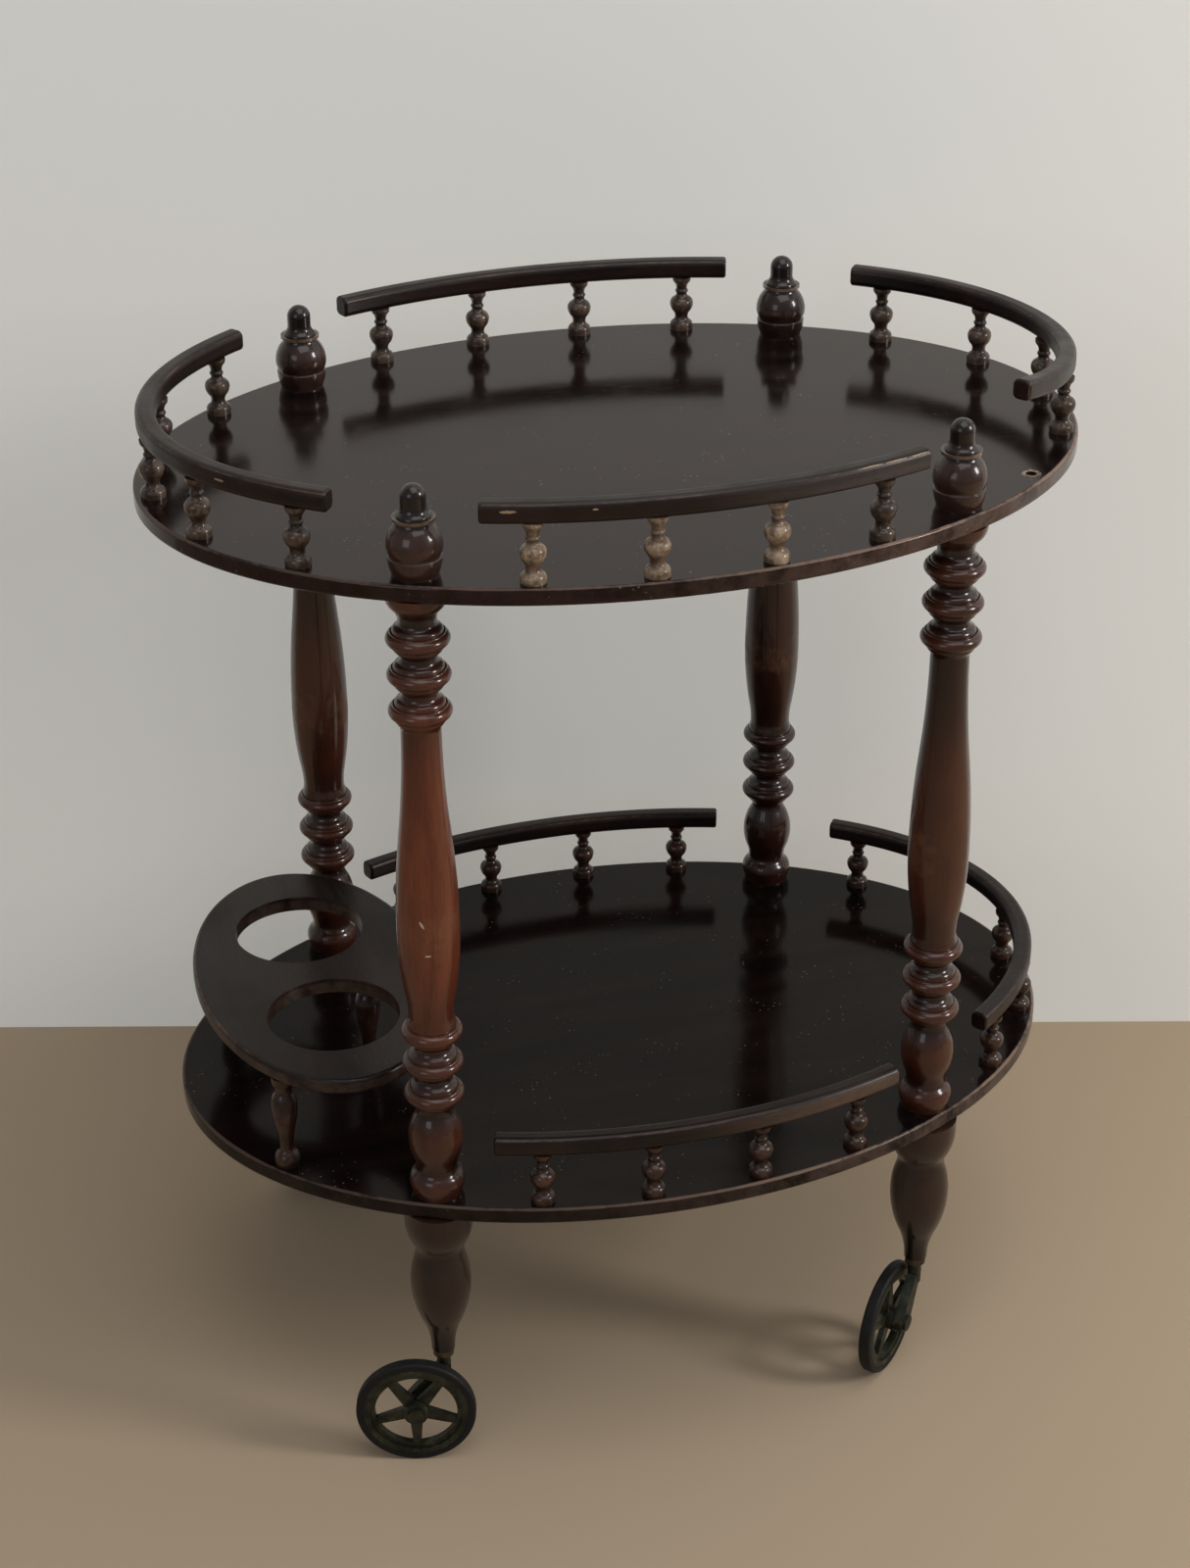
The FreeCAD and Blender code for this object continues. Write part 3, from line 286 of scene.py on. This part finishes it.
def chip_group():
    """A small ragged chip at a spot, drawn out along a direction: its half length and half width."""
    tree, given, found = new_group(
        "ragged chip", [
            ("Vector", "NodeSocketVector"), ("Spot", "NodeSocketVector"), ("Along", "NodeSocketVector"),
            ("Reach", "NodeSocketFloat"), ("Width", "NodeSocketFloat"),
        ], [("Chip", "NodeSocketFloat")])
    ends = {0: given["Vector"], 1: given["Spot"]}
    gap = add_node(tree, "ShaderNodeVectorMath", ends, operation="SUBTRACT").outputs[0]
    lengthways = add_node(tree, "ShaderNodeVectorMath", {0: gap, 1: given["Along"]}, operation="DOT_PRODUCT")
    share = lengthways.outputs["Value"]
    far = add_node(tree, "ShaderNodeVectorMath", {0: gap}, operation="LENGTH").outputs["Value"]
    across = calc(tree, "SQRT", calc(tree, "MAXIMUM", calc(
        tree, "SUBTRACT", calc(tree, "MULTIPLY", far, far), calc(tree, "MULTIPLY", share, share)), 0.0))
    shares = [
        calc(tree, "DIVIDE", share, given["Reach"]), calc(tree, "DIVIDE", across, given["Width"]),
    ]
    squares = [calc(tree, "MULTIPLY", part, part) for part in shares]
    oval = calc(tree, "SQRT", calc(tree, "ADD", *squares))
    ragged = calc(tree, "ADD", oval, calc(tree, "MULTIPLY", noise(tree, given["Vector"], 700, 2), 0.8))
    tree.links.new(ramp(tree, ragged, 1.35, 1.05, 0.0, 0.85), found["Chip"])
    return tree


def lathe_group():
    """Fine rings left by the lathe's chisel. The pitch is how many there are to the metre, in hundreds."""
    tree, given, found = new_group(
        "lathe lines", [("Vector", "NodeSocketVector"), ("Pitch", "NodeSocketFloat")],
        [("Height", "NodeSocketFloat")])
    place = add_node(tree, "ShaderNodeSeparateXYZ", {0: given["Vector"]}).outputs
    drawn = add_node(tree, "ShaderNodeCombineXYZ", {
        "X": calc(tree, "MULTIPLY", place["X"], 6.0), "Y": calc(tree, "MULTIPLY", place["Y"], 6.0),
        "Z": calc(tree, "MULTIPLY", place["Z"], calc(tree, "MULTIPLY", given["Pitch"], 100.0)),
    })
    tree.links.new(noise(tree, drawn.outputs["Vector"], 1.5, 2), found["Height"])
    return tree


ragged_chip = chip_group()
lathe_lines = lathe_group()


def chipped(tree, coordinates, colour, chips, bare):
    """A colour with chips to the bare wood. Each has a spot, a direction, a half length and a half width."""
    for spot, along, reach, width in chips:
        chip = placed(tree, ragged_chip, Vector=coordinates, Spot=spot, Along=Vector(along).normalized(),
                      Reach=reach, Width=width)["Chip"]
        colour = mixed(tree, chip, colour, bare)
    return colour


def lacquer(shader, roughness):
    """A clear coat over stained wood, whose weight the material's own wear sets."""
    shader.inputs["Coat Roughness"].default_value = roughness
    shader.inputs["Coat IOR"].default_value = 1.45
    shader.inputs["Specular IOR Level"].default_value = 0.2


def turned_finish(name, hollow, swell, radii, chips=(), fading_and_light=0.0, bare_rim=None):
    """Stained turned wood from its slimmest radius to its fullest, with the colours of both. The slim hollows
    are painted darker, partly as painted shade.
    """
    slim, full = radii
    faded_dark = (0.095, 0.02, 0.008, 1)
    faded_light = (0.19, 0.045, 0.016, 1)
    rubbed_red = (0.2, 0.09, 0.045, 1)
    open_pore = (0.012, 0.005, 0.004, 1)
    rim_wood = (0.25, 0.16, 0.1, 1)
    bare_wood = (0.6, 0.5, 0.4, 1)
    material, tree, shader, coordinates = new_finish(name)
    grain = upright_grain(tree, coordinates)
    radius = placed(tree, turned_radius, Vector=coordinates)["Radius"]
    # Partly painted shade: where the radius is small, in the hollows, the colour is painted darker, besides
    # the stain gathered there.
    fullness = ramp(tree, radius, slim, full)
    uneven = noise(tree, coordinates, 22, 4, 0.6)
    fullness = calc(tree, "MULTIPLY", fullness, ramp(tree, uneven, 0.2, 0.6, 0.55, 1.0))
    dark = mixed(tree, grain["Tone"], tuple(0.6 * part for part in hollow) + (1,), hollow + (1,))
    light = mixed(tree, grain["Tone"], tuple(0.62 * part for part in swell) + (1,), swell + (1,))
    colour = mixed(tree, fullness, dark, light)
    place = add_node(tree, "ShaderNodeSeparateXYZ", {0: coordinates}).outputs
    # Painted shade: the pieces at the rear right are painted darker, toward the hollow colour.
    rear_right = calc(tree, "MULTIPLY", ramp(tree, place["Y"], -0.05, 0.05), ramp(
        tree, place["X"], -0.05, 0.05, 0.0, 0.7))
    colour = mixed(tree, rear_right, colour, dark)
    if fading_and_light:
        middle = calc(tree, "MULTIPLY", ramp(tree, place["Z"], 0.3, 0.4), ramp(tree, place["Z"], 0.6, 0.5))
        corner = calc(tree, "MULTIPLY", ramp(tree, place["Y"], 0.0, -0.1), ramp(
            tree, place["X"], 0.0, -0.1))
        bleached = calc(tree, "MULTIPLY", calc(tree, "MULTIPLY", middle, corner), fading_and_light)
        colour = mixed(tree, bleached, colour, mixed(tree, grain["Tone"], faded_dark, faded_light))
    crest = ramp(tree, radius, full - 0.0008, full + 0.0004)
    rubbed = placed(tree, rubbed_wear, Vector=coordinates, Corner=crest)["Rubbed"]
    colour = mixed(tree, calc(tree, "MULTIPLY", rubbed, 0.5), colour, rubbed_red)
    colour = mixed(tree, calc(tree, "MULTIPLY", grain["Pores"], 0.45), colour, open_pore)
    if bare_rim:
        low, high, rim_radius = bare_rim
        level = calc(tree, "MULTIPLY", ramp(tree, place["Z"], low - 0.0003, low), ramp(
            tree, place["Z"], high + 0.0003, high))
        rim = calc(tree, "MULTIPLY", level, ramp(tree, radius, rim_radius - 0.0011, rim_radius - 0.0004))
        bare = placed(tree, rubbed_wear, Vector=coordinates, Corner=rim, Amount=0.1)["Rubbed"]
        colour = mixed(tree, calc(tree, "MULTIPLY", bare, 0.6), colour, rim_wood)
    colour = chipped(tree, coordinates, colour, chips, bare_wood)
    tree.links.new(colour, shader.inputs["Base Color"])
    dull = calc(tree, "ADD", calc(tree, "MULTIPLY", uneven, 0.14), calc(tree, "MULTIPLY", rubbed, 0.2))
    tree.links.new(calc(tree, "ADD", dull, 0.26), shader.inputs["Roughness"])
    tree.links.new(ramp(tree, rubbed, 0.2, 0.9, 0.7, 0.2), shader.inputs["Coat Weight"])
    lacquer(shader, 0.09)
    rings = placed(tree, lathe_lines, Vector=coordinates, Pitch=9.0)["Height"]
    fine = calc(tree, "ADD", calc(tree, "MULTIPLY", rings, 0.45), calc(
        tree, "MULTIPLY", calc(tree, "SUBTRACT", grain["Fibre"], grain["Pores"]), 0.3))
    relief(tree, shader, fine, 0.00012)
    return material


corners = ("front_left", "front_right", "rear_left", "rear_right")
post_red = (0.085, 0.0245, 0.012)
post_dark = (0.02, 0.0072, 0.005)
post_chips = (
    ((-0.1764, -0.1759, 0.4213), (0.5, -0.2, -1), 0.0036, 0.0011),
    ((-0.1730, -0.1768, 0.3990), (1, -0.3, 0), 0.0022, 0.0007),
)
dress([f"post_{corner}" for corner in corners], turned_finish(
    "red mahogany posts", post_dark, post_red, (0.0105, 0.0192), post_chips, fading_and_light=0.8))
dress([f"finial_{corner}" for corner in corners], turned_finish(
    "mahogany finials", (0.013, 0.0068, 0.0054), (0.056, 0.025, 0.017), (0.007, 0.0165),
    bare_rim=(0.679, 0.6808, 0.0126)))
dress([f"leg_{corner}" for corner in corners], turned_finish(
    "mahogany legs", (0.0085, 0.0042, 0.0032), (0.032, 0.0135, 0.0088), (0.008, 0.0228)))

# Gallery rails
# Strips of hardwood sawn to the oval and rounded over, stained black-brown. Hands have rubbed their corners
# to a thin brown line, and a pale line at the right of the top front edge is partly bare wood and partly
# painted highlight. The front ones' outer faces are painted paler toward the right, partly faded and partly
# painted light.


def rail_finish(name, sample, fading_and_light, chips=()):
    """Black-brown rail with rubbed corners. Its outer face is painted paler toward the right of the front, as
    fading and painted light.
    """
    stain_dark = (0.0055, 0.0032, 0.0026, 1)
    stain_light = (0.02, 0.0085, 0.006, 1)
    rubbed_brown = (0.13, 0.082, 0.054, 1)
    open_pore = (0.006, 0.003, 0.003, 1)
    bare_wood = (0.4, 0.28, 0.18, 1)
    low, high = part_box(sample)
    material, tree, shader, coordinates = new_finish(name)
    grain = placed(tree, wood_grain, Vector=coordinates)
    colour = mixed(tree, grain["Tone"], stain_dark, stain_light)
    outside = placed(tree, oval_line, Vector=coordinates, Long=pin_line[0], Short=pin_line[1])["Outside"]
    place = add_node(tree, "ShaderNodeSeparateXYZ", {0: coordinates}).outputs
    from_middle = calc(tree, "ABSOLUTE", outside)
    near_side = calc(tree, "MULTIPLY", ramp(tree, from_middle, 0.0042, 0.005), ramp(
        tree, from_middle, 0.0061, 0.0056))
    near_top = ramp(tree, place["Z"], high.z - 0.0026, high.z - 0.0012)
    near_foot = ramp(tree, place["Z"], low.z + 0.0024, low.z + 0.0006, 0, 0.5)
    corner = calc(tree, "MULTIPLY", near_side, calc(tree, "ADD", near_top, near_foot), clamp=True)
    rubbed = placed(tree, rubbed_wear, Vector=coordinates, Corner=corner, Amount=0.02)["Rubbed"]
    colour = mixed(tree, calc(tree, "MULTIPLY", rubbed, 0.7), colour, rubbed_brown)
    # Partly painted light: the outer face of the front rails is painted paler toward the right, where the
    # window light falls.
    outer_face = calc(tree, "MULTIPLY", ramp(tree, outside, 0.0046, 0.0058), ramp(
        tree, place["Z"], high.z - 0.0012, high.z - 0.0028))
    front_right = calc(tree, "MULTIPLY", ramp(tree, place["X"], -0.03, 0.11), ramp(
        tree, place["Y"], -0.13, -0.17))
    colour = mixed(tree, calc(tree, "MULTIPLY", outer_face, front_right), colour, mixed(
        tree, grain["Tone"], tuple(0.6 * part for part in fading_and_light) + (1,), fading_and_light + (1,)))
    colour = mixed(tree, calc(tree, "MULTIPLY", grain["Pores"], 0.5), colour, open_pore)
    colour = chipped(tree, coordinates, colour, chips, bare_wood)
    tree.links.new(colour, shader.inputs["Base Color"])
    uneven = noise(tree, coordinates, 30, 3)
    tree.links.new(ramp(tree, uneven, 0.3, 0.7, 0.34, 0.5), shader.inputs["Roughness"])
    tree.links.new(ramp(tree, rubbed, 0.2, 0.9, 0.26, 0.1), shader.inputs["Coat Weight"])
    lacquer(shader, 0.26)
    relief(tree, shader, calc(tree, "SUBTRACT", grain["Fibre"], grain["Pores"]), 0.00008)
    return material


top_rail_chips_and_highlight = (
    ((-0.1213, -0.1912, 0.6905), (0.95, -0.3, 0), 0.0055, 0.0011),
    ((-0.0734, -0.2028, 0.6908), (0.98, -0.17, 0), 0.0022, 0.0007),
    # These three long thin marks along the right of the top front edge are partly bare wood and partly a
    # painted highlight.
    ((0.0946, -0.1974, 0.6941), (0.973, 0.231, 0), 0.011, 0.0006),
    ((0.1116, -0.1931, 0.6941), (0.962, 0.273, 0), 0.011, 0.0006),
    ((0.1282, -0.1881, 0.6941), (0.949, 0.314, 0), 0.011, 0.0006),
    ((-0.2672, -0.0942, 0.6895), (0.584, -0.812, 0), 0.005, 0.0008),
)
dress([f"top_rail_{side}" for side in ("front", "back", "left", "right")], rail_finish(
    "black-brown top rails", "top_rail_front", (0.06, 0.047, 0.044), top_rail_chips_and_highlight))
dress([f"lower_rail_{side}" for side in ("front", "back", "right")], rail_finish(
    "black-brown lower rails", "lower_rail_front", (0.11, 0.07, 0.05)))

# Gallery spindles and rack columns
# Small turnings pinned at both ends, with stain and painted shade gathered in the hollows. Three at the top
# front are painted gold, partly faded and partly painted light; past a place the fourth is darker, and the
# rest are brown.


def spindle_finish(name, sample, light, dark, darker_x_span=None):
    """Stain and painted shade that gather in the hollows, worked out from the height of each. Past a place
    along x the spindle is darker.
    """
    darker_brown = (0.024, 0.013, 0.01, 1)
    open_pore = (0.015, 0.007, 0.005, 1)
    low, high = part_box(sample)
    material, tree, shader, coordinates = new_finish(name)
    grain = upright_grain(tree, coordinates)
    place = add_node(tree, "ShaderNodeSeparateXYZ", {0: coordinates}).outputs
    share = calc(tree, "DIVIDE", calc(tree, "SUBTRACT", place["Z"], low.z), high.z - low.z)
    # Partly painted shade: the necks between the turnings are painted darker by height, as well as holding
    # stain.
    neck_shade_and_stain = add_node(tree, "ShaderNodeValToRGB", {0: share})
    neck_shade_and_stain.color_ramp.interpolation = "B_SPLINE"
    stops = (
        (0.12, 0.5), (0.19, 0.95), (0.31, 0.05), (0.42, 0.75), (0.5, 1.0), (0.58, 0.75), (0.645, 0.0),
        (0.68, 0.45), (0.715, 0.05), (0.8, 0.7), (0.87, 0.85),
    )
    for count, (spot, level) in enumerate(stops):
        stop = neck_shade_and_stain.color_ramp.elements[count] if count < 2 else neck_shade_and_stain.color_ramp.elements.new(spot)
        stop.position = spot
        stop.color = (level, level, level, 1)
    uneven = ramp(tree, noise(tree, coordinates, 150, 4, 0.7), 0.36, 0.62, 0.16, 1.0)
    thin_stain_and_unshaded = calc(tree, "MULTIPLY", neck_shade_and_stain.outputs["Color"], uneven)
    hollow = dark + (1,)
    # Past a place along x the spindle is painted darker.
    if darker_x_span:
        thin_stain_and_unshaded = calc(tree, "MULTIPLY", thin_stain_and_unshaded, ramp(tree, place["X"], *darker_x_span, 1.0, 0.2))
        hollow = mixed(tree, ramp(tree, place["X"], *darker_x_span), hollow, darker_brown)
    streaked = mixed(tree, grain["Tone"], tuple(0.55 * part for part in light) + (1,), light + (1,))
    colour = mixed(tree, thin_stain_and_unshaded, hollow, streaked)
    colour = mixed(tree, calc(tree, "MULTIPLY", grain["Pores"], 0.4), colour, open_pore)
    tree.links.new(colour, shader.inputs["Base Color"])
    tree.links.new(ramp(tree, uneven, 0.2, 1.0, 0.42, 0.28), shader.inputs["Roughness"])
    tree.links.new(ramp(tree, uneven, 0.2, 1.0, 0.35, 0.6), shader.inputs["Coat Weight"])
    lacquer(shader, 0.14)
    rings = placed(tree, lathe_lines, Vector=coordinates, Pitch=14.0)["Height"]
    relief(tree, shader, calc(tree, "ADD", rings, calc(
        tree, "MULTIPLY", grain["Fibre"], 0.4)), 0.00012)
    return material


# Partly painted light: the top front spindles get a far paler gold than the others, for the light they catch,
# besides their fading.
dress(["top_spindles_front"], spindle_finish(
    "faded and lit golden spindles", "top_spindles_front", (0.49, 0.36, 0.24), (0.08, 0.046, 0.029),
    darker_x_span=(0.06, 0.095)))
dress([f"top_spindles_{side}" for side in ("back", "left", "right")], spindle_finish(
    "dark top spindles", "top_spindles_front", (0.15, 0.098, 0.066), (0.018, 0.0105, 0.0075)))
dress([f"lower_spindles_{side}" for side in ("front", "back", "right")], spindle_finish(
    "dark lower spindles", "lower_spindles_front", (0.085, 0.038, 0.022), (0.018, 0.0085, 0.006)))
dress([f"rack_column_{place}" for place in ("front", "rear", "inner")], spindle_finish(
    "dark rack columns", "rack_column_front", (0.075, 0.03, 0.018), (0.018, 0.0075, 0.0055)))

# Bottle rack
# One oval board on three columns, with two holes sawn through it for bottles. It is stained like the shelves
# and a little duller, and the holes' walls show the end grain.


def rack_finish():
    """Black-brown board, mottled on its walls and rubbed on its upper shoulders."""
    stain_dark = (0.006, 0.0035, 0.003, 1)
    stain_light = (0.02, 0.0085, 0.0065, 1)
    wall_brown = (0.062, 0.038, 0.027, 1)
    rubbed_brown = (0.17, 0.08, 0.045, 1)
    open_pore = (0.006, 0.003, 0.003, 1)
    material, tree, shader, coordinates = new_finish("black-brown bottle rack")
    place = add_node(tree, "ShaderNodeSeparateXYZ", {0: coordinates}).outputs
    lengthways = add_node(tree, "ShaderNodeCombineXYZ", {"X": place["Y"], "Y": place["X"], "Z": place["Z"]})
    grain = placed(tree, wood_grain, Vector=lengthways.outputs["Vector"])
    colour = mixed(tree, grain["Tone"], stain_dark, stain_light)
    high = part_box("bottle_rack")[1]
    walls = ramp(tree, place["Z"], high.z - 0.0012, high.z - 0.0034, 0.0, 0.8)
    mottled = ramp(tree, noise(tree, coordinates, 70, 5, 0.7), 0.36, 0.62)
    colour = mixed(tree, calc(tree, "MULTIPLY", walls, mottled), colour, wall_brown)
    upper = ramp(tree, place["Z"], high.z - 0.0034, high.z - 0.0004)
    shoulder = calc(tree, "MULTIPLY", upper, ramp(tree, place["Z"], high.z + 0.00001, high.z - 0.00025))
    rubbed = placed(tree, rubbed_wear, Vector=coordinates, Corner=shoulder)["Rubbed"]
    colour = mixed(tree, calc(tree, "MULTIPLY", rubbed, 0.7), colour, rubbed_brown)
    colour = mixed(tree, calc(tree, "MULTIPLY", grain["Pores"], 0.5), colour, open_pore)
    tree.links.new(colour, shader.inputs["Base Color"])
    film = placed(tree, settled_dust, Vector=coordinates)
    tree.links.new(ramp(tree, film["Film"], 0, 1, 0.34, 0.5), shader.inputs["Roughness"])
    tree.links.new(ramp(tree, film["Film"], 0, 1, 0.3, 0.18), shader.inputs["Coat Weight"])
    lacquer(shader, 0.22)
    relief(tree, shader, calc(tree, "SUBTRACT", grain["Fibre"], grain["Pores"]), 0.0001)
    return material


dress(["bottle_rack"], rack_finish())

# Studs
# Steel dowel screws that join finial, shelf, post and leg. They are hidden inside the wood.


def stud_finish():
    """Drawn steel, streaked along its length."""
    material, tree, shader, coordinates = new_finish("bright steel studs")
    shade = noise(tree, stretched(tree, coordinates, (300, 300, 40)), 2, 3)
    tree.links.new(mixed(tree, shade, (0.35, 0.35, 0.36, 1), (0.6, 0.6, 0.6, 1)), shader.inputs["Base Color"])
    tree.links.new(ramp(tree, shade, 0.2, 0.8, 0.3, 0.5), shader.inputs["Roughness"])
    shader.inputs["Metallic"].default_value = 1.0
    return material


dress(["finial_studs", "leg_studs"], stud_finish())

# Casters
# Cast wheels on one-sided arms, bronzed dark green, with brass showing through in worn spots. Each arm's
# pintle turns in a brass sleeve driven into the leg.


def bronze_finish(name, dark, green, bright, glow):
    """Dark patinated metal, worn bright in spots."""
    material, tree, shader, coordinates = new_finish(name)
    cloud = noise(tree, coordinates, 60, 5, 0.65, 0.4)
    grit = noise(tree, coordinates, 420, 3, 0.6)
    colour = mixed(tree, ramp(tree, cloud, 0.35, 0.65), dark + (1,), green + (1,))
    worn = calc(tree, "MULTIPLY", ramp(tree, noise(tree, coordinates, 110, 4, 0.7), 0.52, 0.68), glow)
    colour = mixed(tree, worn, colour, bright + (1,))
    tree.links.new(colour, shader.inputs["Base Color"])
    tree.links.new(ramp(tree, cloud, 0.3, 0.7, 0.5, 0.36), shader.inputs["Roughness"])
    tree.links.new(ramp(tree, worn, 0.0, 0.6, 0.55, 1.0), shader.inputs["Metallic"])
    relief(tree, shader, calc(tree, "ADD", cloud, calc(tree, "MULTIPLY", grit, 0.5)), 0.0002)
    return material


patina = bronze_finish(
    "green bronze", (0.012, 0.013, 0.009), (0.04, 0.045, 0.028), (0.16, 0.145, 0.085), 0.4)
sleeve_brass = bronze_finish(
    "tarnished brass", (0.03, 0.022, 0.012), (0.09, 0.068, 0.035), (0.3, 0.23, 0.11), 0.5)
for corner in corners:
    dress([f"caster_arm_{corner}", f"wheel_{corner}", f"axle_{corner}"], patina)
    dress([f"caster_socket_{corner}"], sleeve_brass)

# Tyres
# Bands of black rubber pressed on the wheels, scuffed grey and dusty on the tread.


def tyre_finish():
    """Black rubber with grey scuffs and grit."""
    material, tree, shader, coordinates = new_finish("black rubber")
    scuff = noise(tree, coordinates, 45, 5, 0.7)
    grit = noise(tree, coordinates, 380, 4, 0.7)
    dusty = calc(tree, "MULTIPLY", ramp(tree, scuff, 0.5, 0.75), ramp(tree, grit, 0.4, 0.65))
    tree.links.new(mixed(tree, calc(tree, "MULTIPLY", dusty, 0.7), (0.005, 0.005, 0.005, 1),
                         (0.035, 0.034, 0.03, 1)), shader.inputs["Base Color"])
    tree.links.new(ramp(tree, scuff, 0.3, 0.7, 0.5, 0.75), shader.inputs["Roughness"])
    shader.inputs["Specular IOR Level"].default_value = 0.3
    relief(tree, shader, calc(tree, "ADD", scuff, calc(tree, "MULTIPLY", grit, 0.4)), 0.00025)
    return material


dress([f"tyre_{corner}" for corner in corners], tyre_finish())

# Floor, backdrop, light and camera
# A plain pale floor, a pale wall that is clear from behind, soft light from the right and above, and a camera
# that looks down at the trolley from the front left.


def stage_finish(name, colour, lift=0.0):
    """A matt sheet, clear from behind. The lift brightens how it looks, also mirrored, and lights nothing."""
    material, tree, shader, _ = new_finish(name)
    shader.inputs["Base Color"].default_value = colour
    shader.inputs["Roughness"].default_value = 0.85
    shader.inputs["Specular IOR Level"].default_value = 0.15
    ray = add_node(tree, "ShaderNodeLightPath").outputs
    seen = calc(tree, "MAXIMUM", ray["Is Camera Ray"], ray["Is Glossy Ray"])
    shader.inputs["Emission Color"].default_value = colour
    tree.links.new(calc(tree, "MULTIPLY", seen, lift), shader.inputs["Emission Strength"])
    behind = add_node(tree, "ShaderNodeNewGeometry").outputs["Backfacing"]
    tree.links.new(calc(tree, "SUBTRACT", 1.0, behind), shader.inputs["Alpha"])
    return material


def stage_sheet(name, spots, material):
    """A flat sheet of the stage, drawn square to the view and turned with the camera's swing."""
    turned_spots = [Matrix.Rotation(swing, 3, "Z") @ Vector(spot) for spot in spots]
    mesh = bpy.data.meshes.new(name)
    mesh.from_pydata(turned_spots, [], [(0, 1, 2, 3)])
    mesh.materials.append(material)
    sheet = bpy.data.objects.new(name, mesh)
    bpy.context.scene.collection.objects.link(sheet)


swing = math.radians(-16.592)
wall_place = 0.32
stage_reach = 5.0
stage_height = 4.0
stage_sheet("floor", [
    (-stage_reach, -stage_reach, 0), (stage_reach, -stage_reach, 0),
    (stage_reach, stage_reach, 0), (-stage_reach, stage_reach, 0),
], stage_finish("pale floor", (0.415, 0.322, 0.227, 1), lift=0.03))
stage_sheet("backdrop", [
    (-stage_reach, wall_place, 0), (stage_reach, wall_place, 0),
    (stage_reach, wall_place, stage_height), (-stage_reach, wall_place, stage_height),
], stage_finish("pale wall", (0.74, 0.74, 0.71, 1), lift=0.2))


def soft_lamp(name, place, aim, size, power, colour):
    """A broad lamp that faces a spot, with its width and height in metres and its power in watts."""
    data = bpy.data.lights.new(name, "AREA")
    data.shape = "RECTANGLE"
    data.size, data.size_y = size
    data.energy = power
    data.color = colour
    lamp = bpy.data.objects.new(name, data)
    lamp.location = place
    lamp.rotation_euler = (Vector(aim) - Vector(place)).to_track_quat("-Z", "Y").to_euler()
    bpy.context.scene.collection.objects.link(lamp)


soft_lamp("window", (2.3, -1.5, 1.7), (0, 0, 0.45), (0.6, 0.9), 42, (1.0, 0.98, 0.95))
soft_lamp("ceiling", (0.2, -0.9, 3.2), (0, 0, 0.3), (2.4, 2.4), 34, (1.0, 0.99, 0.97))
soft_lamp("room", (-2.4, -2.2, 1.6), (0, 0, 0.4), (1.4, 1.4), 10, (0.95, 0.97, 1.0))
world = bpy.data.worlds.new("room light")
world.use_nodes = True
world.node_tree.nodes["Background"].inputs["Color"].default_value = (0.9, 0.92, 0.95, 1)
world.node_tree.nodes["Background"].inputs["Strength"].default_value = 0.28
bpy.context.scene.world = world

picture_height_px = 1600
focal_px = 3036.4
view_data = bpy.data.cameras.new("camera")
view_data.sensor_fit = "VERTICAL"
view_data.sensor_height = 36.0
view_data.lens = focal_px * view_data.sensor_height / picture_height_px
camera = bpy.data.objects.new("camera", view_data)
camera_place = (-0.515, -1.681, 1.349)
look_down, lean = math.radians(28.376), math.radians(-0.292)
turn = Euler((math.pi / 2 - look_down, 0, swing)).to_matrix() @ Matrix.Rotation(lean, 3, "Z")
camera.matrix_world = Matrix.Translation(camera_place) @ turn.to_4x4()
bpy.context.scene.collection.objects.link(camera)
bpy.context.scene.camera = camera
bpy.context.scene.view_settings.view_transform = "Standard"
